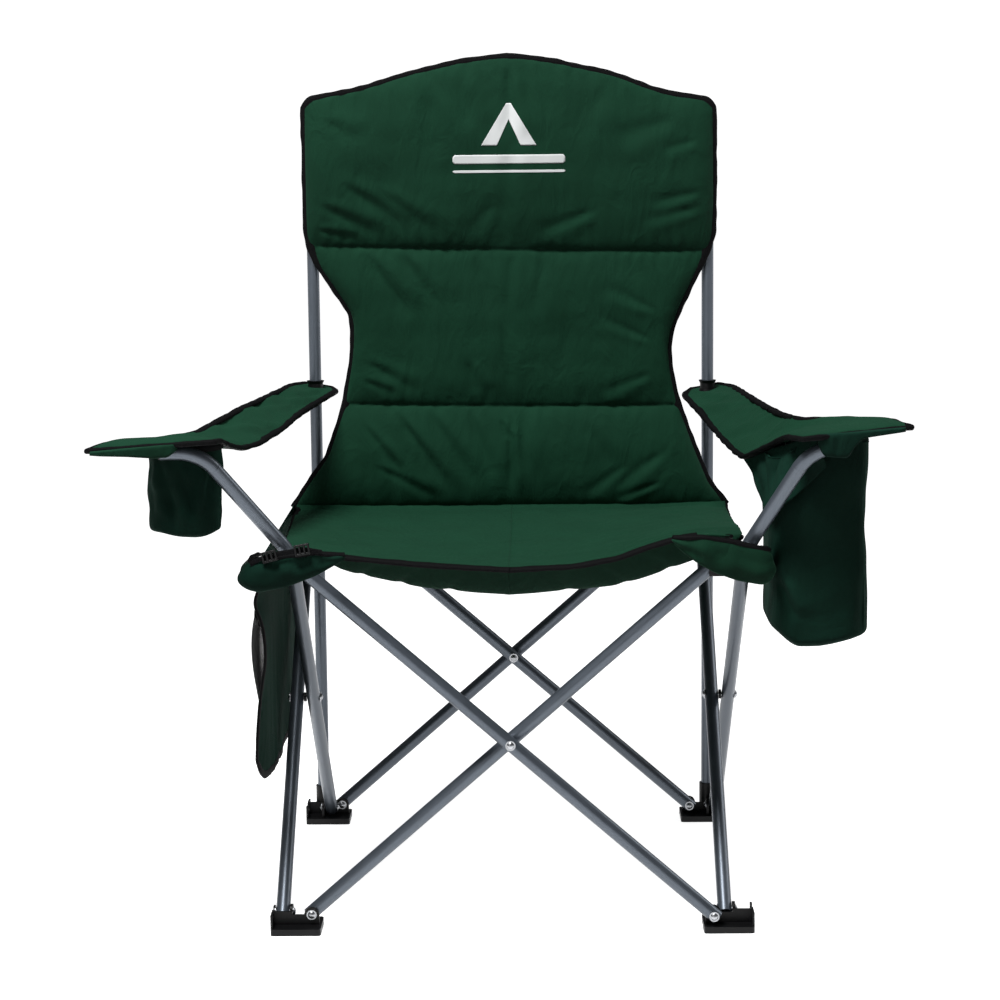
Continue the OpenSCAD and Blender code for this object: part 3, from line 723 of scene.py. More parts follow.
def seat_top_z(x, y):
    span = (SEAT_REAR - y) / (SEAT_REAR - SEAT_FRONT)
    side = np.abs(x) / 0.29
    rear = SEAT_TOP + 0.0065 + 0.0015 * smooth((np.abs(x) - 0.19) / 0.06)
    front = seat_front_z(x)
    sag = 0.010 * np.sin(math.pi * unit(span)) * (1 - side ** 2)
    level = rear + (front - rear) * smooth(span) - sag
    edge = smooth((SEAT_REAR - y) / 0.02) * smooth((y - SEAT_FRONT) / 0.03)
    wave = 1.2 * MM * ripple(x, y, 120 * MM, 31) + 0.5 * MM * ripple(x, y, 45 * MM, 32)
    wave = wave + creases(x, y, SEAT_CREASES)
    swell = 6 * MM * rounded(span, 6) * unit(1 - side ** 10)
    crown = 3.5 * MM * hump(y - SEAT_FRONT - 0.028, 0.024) * unit(1 - side ** 6)
    return level + (wave + swell) * edge - 6 * MM * edge + crown


def seat_grids(side):
    rows, columns = 150, 130
    s, t = unit_grid(columns, rows)
    y = SEAT_FRONT + t * (SEAT_REAR - SEAT_FRONT)
    x = side * s * seat_edge_x(side, y)
    top = np.stack([x, y, seat_top_z(x, y)], -1)
    # The underside rolls down from the binding and runs back under the pad
    reach = SEAT_REAR - SEAT_FRONT
    run = t ** 1.5
    y_low = SEAT_FRONT + run * reach
    x_low = side * s * seat_edge_x(side, y_low)
    depth = seat_drop(x_low) * smooth(run / 0.055) ** 0.55
    level = seat_front_z(x_low) * (1 - smooth(run / 0.5)) + (SEAT_TOP + 0.004) * smooth(run / 0.5)
    thin = 1 - 0.35 * smooth((run - 0.1) / 0.4)
    fan = 0.4 * MM * ripple(x_low, run * 0.4, 90 * MM, 41) * unit(run * 60)
    for x0, tilt, amount in ((0.05, 0.9, 1.7), (0.11, 1.0, 2.0), (0.16, 1.1, 2.2), (0.20, 1.2, 1.6)):
        line = np.abs(x_low) - x0 - tilt * (depth - 0.01)
        fan = fan + amount * MM * hump(line, 7 * MM) * unit(run * 40) * np.exp(-run / 0.3)
    close = 1 - smooth((run - 0.97) / 0.03)
    z_low = level - depth * thin * (0.35 + 0.65 * close) + fan
    low = np.stack([x_low, y_low, np.minimum(z_low, seat_top_z(x_low, y_low) - 2.2 * MM)], -1)
    low[:, :, 2] = np.where(t == 0, top[:, :, 2] - 1.5 * MM, low[:, :, 2])
    return top, low


seats, seat_bindings = {}, {}
for name, side in SIDES.items():
    top, low = seat_grids(side)
    if side < 0:
        top, low = top[:, ::-1], low[:, ::-1]
    seats[name] = pad(f"seat pad {name}", top, low, green, uv=top[..., :2])
    front_rim = middle(top[0], low[0])
    front_rim = front_rim[np.abs(front_rim[:, 0]) < 0.222]
    side_rim = middle(top[:, 0], low[:, 0]) if side < 0 else middle(top[:, -1], low[:, -1])
    centre = (side * 0.12, 0.0, SEAT_TOP - 0.03)
    front_band = band("front", front_rim, unit_rows(np.array([[0, -0.55, 1.0]])), tape, width=9 * MM,
                      thickness=4.2 * MM, inset=0.35, seed=5 + side, inward=(side * 0.12, 0.1, SEAT_TOP))
    side_band = band("side", side_rim, (0, 0, 1), tape, width=10 * MM, thickness=4.0 * MM, inset=0.40,
                     seed=9 + side, inward=centre)
    seat_bindings[name] = joined(f"seat binding {name}", [front_band, side_band])

# ---------------------------------------------------------------- corner pockets and the buckles

pockets = {}
POCKET_FRONT = pocket_lo[1] - 1.0 * MM
for name, side in SIDES.items():
    rows, columns = 30, 90
    s, t = unit_grid(columns, rows)
    # From the seat's front edge out round the corner and back along the side
    corner_x, corner_y, round_r = pocket_hi[0] + 1 * MM, POCKET_FRONT, 0.014
    plan = [(0.190, corner_y + 8 * MM), (0.228, corner_y + 1 * MM), (corner_x - round_r, corner_y)]
    plan += [(corner_x - round_r + round_r * math.sin(a), corner_y + round_r - round_r * math.cos(a))
             for a in np.linspace(0.2, math.pi / 2, 7)]
    plan += [(corner_x + 1 * MM, corner_y + 0.05), (corner_x - 4 * MM, corner_y + 0.075)]
    path, at = resampled([(x, y, 0) for x, y in plan], 1.0 * MM)
    along = at / at[-1]
    px = np.interp(s, along, path[:, 0])
    py = np.interp(s, along, path[:, 1])
    if side < 0:
        upper = curve_through([(0, 0.461), (0.22, 0.464), (0.42, 0.460), (0.62, 0.454), (1, 0.452)], 0.04)
        lower = curve_through([(0, 0.457), (0.10, 0.447), (0.20, 0.438), (0.36, 0.427), (0.55, 0.420),
                               (0.72, 0.424), (1, 0.445)], 0.04)
    else:
        upper = curve_through([(0, 0.478), (0.20, 0.480), (0.42, 0.473), (0.60, 0.464), (1, 0.455)], 0.04)
        lower = curve_through([(0, 0.474), (0.07, 0.462), (0.16, 0.450), (0.28, 0.438), (0.42, 0.429),
                               (0.58, 0.424), (0.75, 0.429), (1, 0.446)], 0.04)
    z = lower(s) + (upper(s) - lower(s)) * t
    out_end = smooth((s - 0.42) / 0.2)
    fullness = (4.5 + (9.0 if side < 0 else 3.0) * out_end) * MM
    bulge = fullness * np.sin(math.pi * t ** 0.75) ** 0.8 * np.sin(math.pi * s) ** 0.4
    dent = 1.8 * MM * ripple(s * 0.16, t * 0.04, 34 * MM, 61 + side)
    grid = np.stack([px, py, z], -1)
    out = grid_normals(grid)
    out = out * np.sign(np.mean(out[..., 1]) * -1)
    grid = grid + out * (bulge + dent * np.sin(math.pi * t))[..., None]
    grid[..., 0] *= side
    if side < 0:
        grid = grid[:, ::-1]
    # The left pocket is in the darker green of painted shade, the right one in the plain green
    sheet_piece = cloth(f"corner pocket {name}", grid, green if side > 0 else shaded_green,
                        uv=np.stack([s * at[-1], z], -1), inward=1)
    rim = grid[-1]
    edge = band("edge", rim, (0, -0.8, 0.6), tape, width=6.5 * MM, thickness=4 * MM, inset=0.5,
                seed=71 + side,
                inward=(side * 0.2, 0, 0.30))
    pockets[name] = joined(f"corner pocket {name}", [sheet_piece, edge])


def round_box(name, low, high, material, bevel=0.8 * MM):
    low, high = np.array(low), np.array(high)
    corners = [(x, y, z) for x in (low[0], high[0]) for y in (low[1], high[1]) for z in (low[2], high[2])]
    faces = [(0, 1, 3, 2), (4, 6, 7, 5), (0, 4, 5, 1), (2, 3, 7, 6), (0, 2, 6, 4), (1, 5, 7, 3)]
    made = make(name, corners, faces, material, smooth_faces=False)
    modifier = made.modifiers.new("bevel", "BEVEL")
    modifier.width = bevel
    modifier.segments = 3
    bpy.context.view_layer.objects.active = made
    bpy.ops.object.select_all(action="DESELECT")
    made.select_set(True)
    bpy.ops.object.modifier_apply(modifier=modifier.name)
    return made


def ladder(x, z, y, tilt):
    """A plastic ladder buckle: two rails joined by four bars."""
    w, h, d, rail = 18 * MM, 13 * MM, 4 * MM, 2.6 * MM
    parts = [round_box("rail", (-w / 2, -d / 2, sign * (h / 2 - rail / 2) - rail / 2),
                       (w / 2, d / 2, sign * (h / 2 - rail / 2) + rail / 2), plastic) for sign in (-1, 1)]
    for k in (-1, -0.35, 0.35, 1):
        cx = k * (w / 2 - rail / 2)
        parts.append(round_box("rib", (cx - 1.1 * MM, -d / 2 - 0.6 * MM, -h / 2),
                               (cx + 1.1 * MM, d / 2, h / 2), plastic, 0.5 * MM))
    made = joined("ladder", parts)
    made.data.transform(Matrix.Translation((x, y, z)) @ Matrix.Rotation(tilt, 4, "Y"))
    return made


buckle_y = buckle_lo[1] + 1 * MM
strap_line = [(-0.299, buckle_y + 1 * MM, 0.453), (-0.288, buckle_y, 0.459),
              (-0.262, buckle_y - 1 * MM, 0.466), (-0.238, buckle_y, 0.470),
              (-0.216, buckle_y + 4 * MM, 0.466)]
strap = band("strap", strap_line, (0, -1, 0), webbing, width=6 * MM, thickness=1.8 * MM, inset=0.5, seed=81,
             wobble=0.1 * MM)
buckles = joined("corner buckles", [strap, ladder(-0.276, 0.4625, buckle_y - 2 * MM, math.radians(-14)),
                                    ladder(-0.238, 0.4700, buckle_y - 2 * MM, math.radians(-10))])

# ---------------------------------------------------------------- armrests

ARM_TOP = arm_hi[2]
ARM_FRONT = arm_lo[1]
ARM_TIP = arm_hi[0]


ARM_CREASES = [
    (246, 225, 300, 60, 7, 3.2), (272, 150, 330, -10, 8, -3.0), (262, 40, 335, -110, 8, 3.8),
    (290, -10, 365, -150, 8, -3.4), (248, 290, 285, 170, 6, 2.4), (300, -120, 340, -190, 7, 3.0),
]


def arm_lines(side):
    """Inner and outer edges of an armrest as (x, y, z) lists, x counted outward, rear to front."""
    if side < 0:
        inner = [(0.247, 0.312, 0.597), (0.238, 0.288, 0.595), (0.256, 0.190, 0.590),
                 (0.271, 0.100, 0.586), (0.287, 0.000, 0.577), (0.305, -0.090, 0.571),
                 (0.318, -0.150, 0.573), (0.325, -0.210, 0.583), (0.329, -0.280, 0.598),
                 (0.332, ARM_FRONT, 0.6015)]
        outer = [(0.283, 0.316, 0.603), (0.299, 0.288, 0.604), (0.307, 0.200, 0.605),
                 (0.320, 0.100, 0.605), (0.336, 0.000, 0.604), (0.354, -0.090, 0.599),
                 (0.374, -0.165, 0.592), (0.415, -0.205, 0.5905), (0.462, -0.262, 0.5935),
                 (ARM_TIP + 3 * MM, ARM_FRONT + 16 * MM, 0.5905)]
    else:
        inner = [(0.247, 0.312, 0.591), (0.234, 0.288, 0.586), (0.250, 0.200, 0.573),
                 (0.261, 0.110, 0.563), (0.270, 0.030, 0.556), (0.279, -0.050, 0.551),
                 (0.285, -0.105, 0.551), (0.303, -0.170, 0.570), (0.322, -0.240, 0.592),
                 (0.334, ARM_FRONT, 0.599)]
        outer = [(0.283, 0.316, 0.597), (0.299, 0.288, 0.597), (0.305, 0.200, 0.598),
                 (0.312, 0.100, 0.599), (0.320, 0.000, 0.600), (0.329, -0.090, 0.602),
                 (0.344, -0.180, 0.605), (0.385, -0.212, 0.609), (0.440, -0.245, 0.6115),
                 (0.458, ARM_FRONT + 18 * MM, 0.609)]
    return inner, outer


def softened(line, shares):
    """Points at shares of a line's length, with the line's corners rounded."""
    points, at = resampled(line, 2.0 * MM)
    even = np.linspace(0, 1, len(at))
    return np.stack([curve_through(list(zip(even, points[:, k])), 0.03)(shares) for k in range(3)], -1)


arms, arm_bindings = {}, {}
for name, side in SIDES.items():
    rows, columns = 230, 60
    u = np.linspace(0, 1, rows)
    inside, outside = (softened(line, u) for line in arm_lines(side))
    v, uu = np.meshgrid(np.linspace(0, 1, columns), u)
    middle_line = inside[:, None, :] + (outside - inside)[:, None, :] * v[..., None]
    # The front pad is thick, and the strap behind it is thin
    front_share = smooth((-0.08 - middle_line[..., 1]) / 0.14)
    puff = (0.8 + 4.2 * front_share) * MM
    edge = rounded(v, 7, 0.5)
    end = unit(1 - unit((uu - 0.97) / 0.03) ** 2) ** 0.5 * unit(uu / 0.02) ** 0.5
    x, y = middle_line[..., 0], middle_line[..., 1]
    folds = 1.3 * MM * ripple(x, y * 0.35, 50 * MM, 91 + side)
    folds = folds + 0.5 * MM * ripple(x, y * 0.6, 22 * MM, 93 + side)
    folds = folds + creases(x, y, ARM_CREASES)
    body = edge * end
    top_z = middle_line[..., 2] + 1.2 * MM + (puff + folds * (1 - 0.5 * front_share)) * body
    low_z = middle_line[..., 2] - 1.2 * MM - (0.8 * MM + 2.0 * MM * front_share) * body
    top = np.stack([side * x, y, top_z], -1)
    low = np.stack([side * x, y, low_z], -1)
    if side > 0:
        top, low = top[:, ::-1], low[:, ::-1]
    arms[name] = pad(f"armrest pad {name}", top, low, green, uv=top[..., :2])
    loop = np.concatenate([middle_line[:, 0], middle_line[-1, 1:],
                           middle_line[::-1, -1][1:], middle_line[0, ::-1][1:]])
    loop[:, 0] *= side
    arm_bindings[name] = band(f"armrest binding {name}", loop, (0, 0, 1), tape, width=10.5 * MM,
                              thickness=6.4 * MM,
                              inset=0.42, seed=95 + side, inward=(side * 0.33, -0.1, ARM_TOP))

# The lower front roll of each armrest, which hides the end of the arm tube behind it; the right one is in
# the darker green of painted shade, to merge with the shaded bag below it
ROLLS = {
    "left": ([(-0.473, 0.591), (-0.440, 0.594), (-0.374, 0.600)],
             [(-0.473, 0.587), (-0.462, 0.586), (-0.430, 0.585), (-0.400, 0.583), (-0.384, 0.584),
              (-0.374, 0.592)]),
    "right": ([(0.352, 0.604), (0.400, 0.607), (0.450, 0.611)],
              [(0.352, 0.592), (0.357, 0.579), (0.374, 0.577), (0.386, 0.577), (0.392, 0.589),
               (0.402, 0.599), (0.450, 0.606)]),
}
arm_rolls = {}
for name, (upper_line, lower_line) in ROLLS.items():
    u, v = unit_grid(90, 26)
    x = upper_line[0][0] + u * (upper_line[-1][0] - upper_line[0][0])
    high, low = curve_through(upper_line, 0.006)(x), curve_through(lower_line, 0.006)(x)
    z = low + v * (high - low)
    round_off = rounded(v, 5, 0.5) * unit(np.sin(math.pi * u) * 6) ** 0.5
    folds = 0.5 * MM * ripple(x, 0.4 * z, 16 * MM, 97)
    front = np.stack([x, ARM_FRONT + 2.8 * MM - (2.6 * MM + folds) * round_off, z], -1)
    behind = np.stack([x, ARM_FRONT + 8.0 * MM + 1.0 * MM * round_off, z], -1)
    arm_rolls[name] = pad(f"armrest roll {name}", front, behind, green if name == "left" else shaded_green)

# ---------------------------------------------------------------- cup holder

cup_centre = (cup_lo + cup_hi) / 2
CUP_R = (cup_hi[0] - cup_lo[0]) / 2 + 3.5 * MM
CUP_TOP, CUP_LOW = cup_hi[2] - 3 * MM, cup_lo[2] - 8 * MM


def around_cup(radius, turn, z):
    return np.stack([cup_centre[0] + radius * np.cos(turn), cup_centre[1] + radius * np.sin(turn), z], -1)


CUP_CREASES = [
    # Angle in radians and share of the way down for both ends, then width and depth in millimetres
    ((-2.2, 0.05), (-1.75, 0.80), 7, 5.0), ((-1.55, 0.20), (-1.15, 0.85), 6, 4.6),
    ((-1.20, 0.10), (-1.30, 0.80), 5, 3.0), ((-0.70, 0.15), (-0.95, 0.85), 6, 3.6),
]


def cup_radius(u, a):
    wall = unit(u / 0.80)
    radius = CUP_R * (1 - 0.05 * wall)
    under = unit((u - 0.80) / 0.20)
    radius = radius * np.sqrt(unit(1 - under ** 2.2))
    around, down = a * CUP_R, u * 0.1
    wrinkles = 3.0 * MM * ripple(around, down, 60 * MM, 101) + 0.8 * MM * ripple(around, down, 24 * MM, 102)
    for start, finish, width, depth in CUP_CREASES:
        begin, stop = (start[0] * CUP_R, start[1] * 0.1), (finish[0] * CUP_R, finish[1] * 0.1)
        turned = around - 2 * math.pi * CUP_R * (a > math.pi)
        wrinkles = wrinkles + crease(turned, down, begin, stop, width * MM, depth * MM)
    return radius + wrinkles * unit(np.sin(math.pi * unit(u))) ** 0.5 * (1 - 0.8 * under)


def cup_z(u, a):
    wall = unit(u / 0.80)
    under = unit((u - 0.80) / 0.20)
    z = CUP_TOP - (CUP_TOP - CUP_LOW) * (0.90 * wall + 0.10 * unit(under) ** 0.6)
    z = z + 1.6 * MM * np.sin(2 * a + 0.6) * wall
    return z + 1.0 * MM * ripple(a * CUP_R, 0 * a, 40 * MM, 104) * wall


CUP_CLOTH = 1.6 * MM
u, a = np.meshgrid(np.linspace(0, 1, 70), np.linspace(0, 2 * math.pi, 110, endpoint=False), indexing="ij")
cup_wall, cup_height = cup_radius(u, a), cup_z(u, a)
cup_outer = around_cup(cup_wall, a, cup_height)
cup_inner = around_cup(np.maximum(cup_wall - CUP_CLOTH, 0.2 * MM), a, cup_height + CUP_CLOTH * (u > 0.55))
# The cup holder is in the darker green of painted shade
cup = shell("cup holder", cup_outer, cup_inner, np.stack([a * CUP_R, cup_height], -1), shaded_green)
turn = np.linspace(0, 2 * math.pi, 90)
CUP_RIM_Z = CUP_TOP - 3 * MM
cup_rim = around_cup(CUP_R, turn, 0 * turn + CUP_RIM_Z)
cup_binding = band("cup holder binding", cup_rim, unit_rows(cup_rim - [*cup_centre[:2], CUP_RIM_Z]), tape,
                   width=9 * MM, thickness=3.4 * MM, inset=0.5, seed=105)

# ---------------------------------------------------------------- cooler bag

BAG_X0, BAG_X1 = bag_lo[0] - 3 * MM, bag_hi[0] + 12 * MM
BAG_Y0, BAG_Y1 = bag_lo[1] - 3 * MM, bag_hi[1] + 2 * MM
BAG_TOP, BAG_LOW = bag_hi[2] - 4 * MM, bag_hi[2] - 0.252
BAG_CREASES = [(312, 430, 334, 372, 7, 4.5), (330, 590, 322, 440, 12, 3.0), (400, 540, 385, 400, 18, 2.2)]


def bag_mouth(x):
    """Height of the bag's mouth, which drops at the inner side where the armrest hangs down."""
    return BAG_TOP - 24 * MM * smooth((BAG_X0 + 0.042 - x) / 0.042)


def bag_ring(u):
    """Plan outline of the bag at height share u from the mouth down, with soft corners."""
    turn = np.linspace(0, 2 * math.pi, 160, endpoint=False)
    power = 0.30 + 0.12 * u
    return turn, signed_power(np.cos(turn), power), signed_power(np.sin(turn), power)


def bag_points():
    rows = 130
    out = []
    uv = []
    for u in np.linspace(0, 1, rows):
        turn, cx, cy = bag_ring(u)
        wall = min(u / 0.86, 1)
        under = max((u - 0.86) / 0.14, 0)
        shrink = math.sqrt(max(1 - under ** 2.4, 0.0))
        half_x = (BAG_X1 - BAG_X0) / 2 * (1 - 0.03 * math.sin(math.pi * wall)) * shrink
        half_y = (BAG_Y1 - BAG_Y0) / 2 * (1 - 0.05 * math.sin(math.pi * wall)) * shrink
        x = (BAG_X0 + BAG_X1) / 2 + half_x * cx
        y = (BAG_Y0 + BAG_Y1) / 2 + half_y * cy
        mouth = bag_mouth(x)
        z = mouth - (mouth - BAG_LOW) * (0.93 * wall + 0.07 * under ** 0.7)
        # The bottom hangs lowest in its middle: its outer side is pulled up a little, its inner one more
        z = z + 9 * MM * smooth((x - (BAG_X0 + 0.05)) / 0.06) * smooth(wall)
        z = z + 17 * MM * smooth((BAG_X0 + 0.036 - x) / 0.036) * smooth(wall)
        p = np.where(cx > 0.9, y, x)
        dent = 2.4 * MM * ripple(p, 0.6 * z, 95 * MM, 111) + 1.0 * MM * ripple(p, z, 42 * MM, 112)
        front = cy < -0.5
        dent = dent + np.where(front, creases(x, z, BAG_CREASES), 0)
        keep = math.sin(math.pi * min(max(u, 0.02), 0.98)) ** 0.4 * (1 - 0.7 * under)
        # The mouth is gathered in under the armrest at its inner front corner
        gather = smooth((z - 0.515) / 0.035) * smooth((BAG_X0 + 0.045 - x) / 0.045)
        gather = gather * smooth((BAG_Y0 + 0.060 - y) / 0.060)
        x, y = x + 22 * MM * gather, y + 26 * MM * gather
        x = x + dent * keep * cx * 0.8
        y = y + dent * keep * np.sign(cy) * np.abs(cy)
        out.append(np.stack([x, y, z], -1))
        uv.append(np.stack([turn / (2 * math.pi) * 0.54, z], -1))
    return np.array(out), np.array(uv)


bag_outer, bag_uv = bag_points()
bag_centre = np.array([(BAG_X0 + BAG_X1) / 2, (BAG_Y0 + BAG_Y1) / 2, 0])
bag_inner = bag_outer.copy()
bag_inner[..., 0] = bag_centre[0] + (bag_outer[..., 0] - bag_centre[0]) * (1 - 2.5 * MM / 0.055)
bag_inner[..., 1] = bag_centre[1] + (bag_outer[..., 1] - bag_centre[1]) * (1 - 2.5 * MM / 0.085)
bag_inner[..., 2] += 2.0 * MM * smooth(np.linspace(0, 1, len(bag_outer)) * 3 - 1.8)[:, None]
# The bag is in the darker green of painted shade
bag = shell("cooler bag", bag_outer, bag_inner, bag_uv, shaded_green)

u, v = unit_grid(40, 50)
LID_WIDTH, LID_DEPTH = BAG_X1 - BAG_X0 - 25 * MM, BAG_Y1 - BAG_Y0 - 6 * MM
lid_x = BAG_X0 + 22 * MM + u * LID_WIDTH
lid_y = BAG_Y0 + 3 * MM + v * LID_DEPTH
lid_z = bag_mouth(lid_x) - 2 * MM + 1.0 * MM * ripple(lid_x, lid_y, 50 * MM, 121)
# The lid is in the darker green of painted shade
lid = cloth("cooler lid", np.stack([lid_x, lid_y, lid_z], -1), shaded_green, 1.5 * MM,
            uv=np.stack([lid_x, lid_y], -1))

# Flap of cloth between the right armrest's hanging corner and the bag
flap_rows, flap_columns = 30, 40
flap_u, flap_v = unit_grid(flap_columns, flap_rows)
flap_top_a = np.array([0.286, -0.100, 0.549])
flap_top_b = np.array([0.354, -0.296, 0.602])
flap_low = np.array([(BAG_X0 - 1.5 * MM, -0.130, 0.512), (BAG_X0 - 2.5 * MM, -0.200, 0.500),
                     (BAG_X0 - 2.5 * MM, BAG_Y0 + 14 * MM, 0.500),
                     (BAG_X0 + 4 * MM, BAG_Y0 - 1 * MM, 0.510),
                     (BAG_X0 + 22 * MM, BAG_Y0 - 4 * MM, 0.520), (0.366, BAG_Y0 - 3 * MM, 0.560)])
flap_path, flap_at = resampled(flap_low, 2.0 * MM)
flap_share = flap_at / flap_at[-1]
flap_hem = np.stack([np.interp(flap_u[0], flap_share, flap_path[:, k]) for k in range(3)], -1)[None]
flap_top = (flap_top_a + flap_u[0][:, None] * (flap_top_b - flap_top_a))[None]
flap_grid = (1 - flap_v)[..., None] * flap_hem + flap_v[..., None] * flap_top
flap_grid[..., 0] += 2.0 * MM * ripple(flap_u * 0.12, flap_v * 0.06, 45 * MM, 131)
# The flap is in the darker green of painted shade
flap = cloth("cooler flap", flap_grid, shaded_green, uv=np.stack([flap_u * 0.18, flap_v * 0.09], -1))

# ---------------------------------------------------------------- side organiser and its net pocket

ORG_X = (organiser_lo[0] + organiser_hi[0]) / 2
ORG_TOP = organiser_hi[2] + 6 * MM
ORG_FRONT, ORG_REAR = organiser_lo[1], organiser_hi[1]

organiser_low = curve_through([(ORG_FRONT, 0.205), (ORG_FRONT + 0.008, 0.190), (ORG_FRONT + 0.03, 0.179),
                               (-0.080, 0.168), (0.0, 0.163), (0.08, 0.170), (0.150, 0.188),
                               (0.200, 0.222), (ORG_REAR, 0.290)], 0.02)
rows, columns = 120, 130
s, t = unit_grid(columns, rows)
y = ORG_FRONT + s * (ORG_REAR - ORG_FRONT)
z = organiser_low(y) + t * (ORG_TOP - organiser_low(y))
hang = 4.0 * MM * np.sin(3.2 * math.pi * s + 1.4 * t) * (1 - t) ** 0.4 * (0.35 + t)
hang = hang + 1.6 * MM * ripple(y, 0.2 * z, 60 * MM, 141) * (1 - t)
x = ORG_X + hang * unit(1.15 - t) - 7 * MM * hump(z - 0.395, 0.018) * np.exp(-s / 0.12)
front = np.exp(-s / 0.10)
x = x - 9 * MM * front * smooth((0.36 - z) / 0.16) + 4 * MM * hump(z - 0.33, 0.035) * front
organiser_grid = np.stack([x, y, z], -1)
# The organiser is in the darker green of painted shade
organiser = cloth("side organiser", organiser_grid, shaded_green, uv=np.stack([y, z], -1))
organiser_loop = np.concatenate([organiser_grid[::-1, 0], organiser_grid[0, 1:], organiser_grid[1:, -1]])
organiser_binding = band("organiser binding", organiser_loop, (1, 0, 0), tape, width=10 * MM,
                         thickness=4 * MM, inset=0.45, seed=143,
                         inward=(ORG_X, 0.0, 0.35))


def net_point(a, b):
    """The net's surface: a across from front to rear, b from its bottom up."""
    y = net_lo[1] + a * (net_hi[1] - net_lo[1])
    z = net_lo[2] + b * (net_hi[2] - net_lo[2])
    fullness = 0.25 + 0.75 * np.sin(math.pi * unit(b * 0.86)) ** 0.7
    bulge = np.sin(math.pi * unit(a)) ** 0.55 * fullness
    return np.stack([ORG_X - 3.0 * MM - (ORG_X - net_lo[0] + 5 * MM) * bulge, y, z], -1)


def net_threads():
    step, radius = 5.2 * MM, 0.42 * MM
    vertices, faces = [], []
    across, up = net_hi[1] - net_lo[1], net_hi[2] - net_lo[2]
    lines = []
    for sign in (1, -1):
        for start in np.arange(-up, across + up, step):
            d = np.linspace(0, up, 26)
            a = (start + sign * d) / across
            b = d / up
            ok = (a >= 0) & (a <= 1)
            if ok.sum() > 2:
                lines.append(net_point(a[ok], b[ok]))
    for line in lines:
        base = len(vertices)
        tangent = unit_rows(np.gradient(line, axis=0))
        side = unit_rows(np.cross(tangent, np.array([1.0, 0, 0])))
        for p, w in zip(line, side):
            for c in ((1, 0), (-0.5, 0.87), (-0.5, -0.87)):
                vertices.append(p + radius * (c[0] * w + c[1] * np.array([1.0, 0, 0])))
        for k in range(len(line) - 1):
            ring = base + 3 * k
            for c in range(3):
                d = (c + 1) % 3
                faces.append([ring + c, ring + d, ring + 3 + d, ring + 3 + c])
    return make("net threads", vertices, faces, net_cord)


a = np.linspace(0, 1, 60)
net_rim = band("net rim", net_point(a, 0 * a + 1), (-1, 0, 0), tape, width=9 * MM, thickness=3 * MM,
               inset=0.5, seed=151)
net_low_rim = band("net low rim", net_point(a, 0 * a), (-1, 0, 0), tape, width=6 * MM, thickness=2.4 * MM,
                   inset=0.5, seed=152)
net = joined("organiser net", [net_threads(), net_rim, net_low_rim])

# ---------------------------------------------------------------- bodies, and the frame parts that the cloth hides


def dress(piece, body, replaced=(), squash=None):
    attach(piece, body)
    if squash:
        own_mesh(piece)
    if replaced:
        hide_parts(*replaced)


across_back = dict(axis=(1, 0, 0), anchor=(FOLD_X, 0, 0), keep=BACK_KEEP)
along_seat = dict(axis=(0, 1, 0), anchor=(0, FRONT_CORNER_Y, 0), keep=SEAT_KEEP)
along_arm = dict(axis=(0, 1, 0), anchor=(0, POST_Y, 0), keep=ARM_KEEP)

dress(back, "rear_left", ["back_panel", "back_flare_left", "back_flare_right"], across_back)
dress(back_binding, "rear_left", squash=across_back)
dress(back_stitches, "rear_left", squash=across_back)
dress(motif, "rear_left", squash=across_back)

for name in SIDES:
    dress(sleeves[name], f"rear_{name}")
    dress(seats[name], f"seat_half_{name}", [f"seat_{name}"], along_seat)
    dress(seat_bindings[name], f"seat_half_{name}", squash=along_seat)
    dress(pockets[name], f"corner_{name}", [f"seat_pocket_{name}"])
    dress(arms[name], f"armrest_swing_{name}", [f"armrest_{name}"], along_arm)
    dress(arm_bindings[name], f"armrest_swing_{name}", squash=along_arm)
    dress(arm_rolls[name], f"armrest_swing_{name}", squash=along_arm)
dress(buckles, "corner_left", ["corner_buckle_left"])
dress(cup, "arm_frame_left", ["cup_holder"])
dress(cup_binding, "arm_frame_left")
dress(bag, "arm_frame_right", ["cooler_bag"])
dress(lid, "arm_frame_right", ["cooler_lid"])
dress(flap, "arm_frame_right")
dress(organiser, "corner_left", ["side_organiser"], along_seat)
dress(organiser_binding, "corner_left", squash=along_seat)
dress(net, "corner_left", ["organiser_net"], along_seat)

organiser_height = ORG_TOP - float(np.min(organiser_low(y)))
organiser_mean = float(np.mean(ORG_TOP - organiser_low(np.linspace(ORG_FRONT, ORG_REAR, 200))))


# ---------------------------------------------------------------- stage, light and camera


def stage_plane(size, material):
    half = size / 2
    corners = [(-half, -half, 0), (half, -half, 0), (half, half, 0), (-half, half, 0)]
    made = make("floor", corners, [(0, 1, 2, 3)], material, smooth_faces=False)
    return made


floor_look, _, _, floor_bsdf = new_material("pale floor")
set_inputs(floor_bsdf,
           {"Base Color": (0.93, 0.93, 0.93, 1), "Roughness": 0.35, "Specular IOR Level": 0.25,
            "Emission Color": (1, 1, 1, 1), "Emission Strength": 0.93})
floor = stage_plane(60.0, floor_look)
floor.visible_diffuse = False

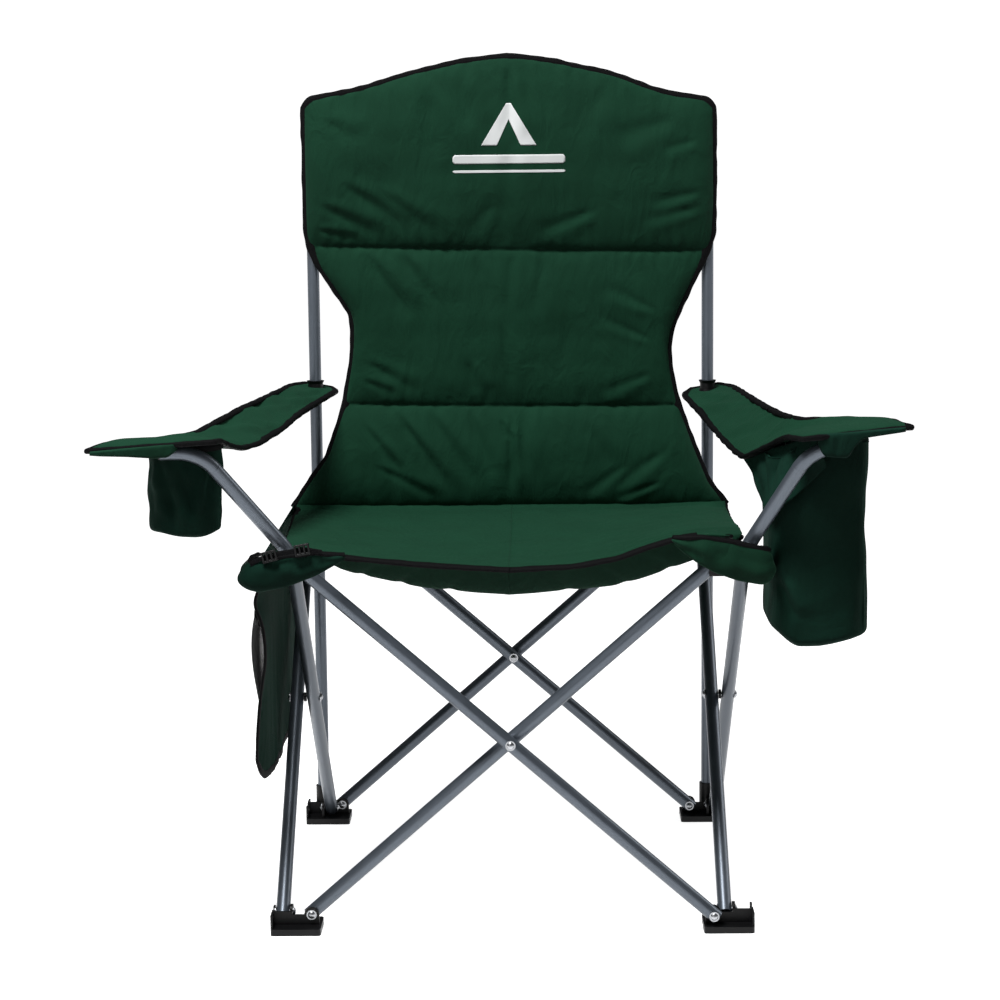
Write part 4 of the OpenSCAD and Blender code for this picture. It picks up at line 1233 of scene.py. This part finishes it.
# The world is bright to the camera, for a white background, and dim to the chair, which the lamps light
SEEN_STRENGTH, SHINING_STRENGTH = 1.1, 0.11
world = bpy.data.worlds.new("studio")
world.use_nodes = True
world_nodes, world_links = world.node_tree.nodes, world.node_tree.links
seen, shining = world_nodes["Background"], world_nodes.new("ShaderNodeBackground")
set_inputs(seen, {"Color": (1.0, 1.0, 1.0, 1), "Strength": SEEN_STRENGTH})
set_inputs(shining, {"Color": (0.97, 0.985, 1.0, 1), "Strength": SHINING_STRENGTH})
rays, blend = world_nodes.new("ShaderNodeLightPath"), world_nodes.new("ShaderNodeMixShader")
world_links.new(rays.outputs["Is Camera Ray"], blend.inputs[0])
world_links.new(shining.outputs[0], blend.inputs[1])
world_links.new(seen.outputs[0], blend.inputs[2])
world_links.new(blend.outputs[0], world_nodes["World Output"].inputs["Surface"])
bpy.context.scene.world = world


def softbox(name, place, target, size, power):
    data = bpy.data.lights.new(name, "AREA")
    data.shape = "RECTANGLE"
    data.size, data.size_y = size
    data.energy = power
    made = bpy.data.objects.new(name, data)
    made.location = place
    made.rotation_euler = (Vector(target) - Vector(place)).to_track_quat("-Z", "Y").to_euler()
    bpy.context.scene.collection.objects.link(made)


softbox("key", (-0.7, -0.95, 3.2), (0, 0.05, 0.6), (1.1, 0.7), 104)
softbox("front", (-1.8, -3.2, 1.5), (0, 0, 0.6), (1.0, 1.0), 6)
softbox("rim", (2.4, 0.9, 1.5), (0, 0, 0.6), (0.6, 1.4), 14)


CAMERA = dict(place=(0.0338, -3.258, 0.963), pitch=8.33, yaw=-0.82, roll=-0.60, lens=94.4)


def add_camera(place, pitch, yaw, roll, lens):
    pitch, yaw, roll = (math.radians(a) for a in (pitch, yaw, roll))
    ahead = Vector((math.sin(yaw) * math.cos(pitch), math.cos(yaw) * math.cos(pitch), -math.sin(pitch)))
    right = ahead.cross(Vector((0, 0, 1))).normalized()
    up = right.cross(ahead)
    c, s = math.cos(roll), math.sin(roll)
    turned_right, turned_up = c * right + s * up, c * up - s * right
    data = bpy.data.cameras.new("camera")
    data.sensor_width = 36
    data.lens = lens
    camera = bpy.data.objects.new("camera", data)
    camera.matrix_world = Matrix((
        (turned_right.x, turned_up.x, -ahead.x, place[0]),
                                  (turned_right.y, turned_up.y, -ahead.y, place[1]),
        (turned_right.z, turned_up.z, -ahead.z, place[2]), (0, 0, 0, 1)))
    bpy.context.scene.collection.objects.link(camera)
    bpy.context.scene.camera = camera


add_camera(**CAMERA)
bpy.context.scene.view_settings.view_transform = "Standard"
bpy.context.scene.view_settings.look = "None"
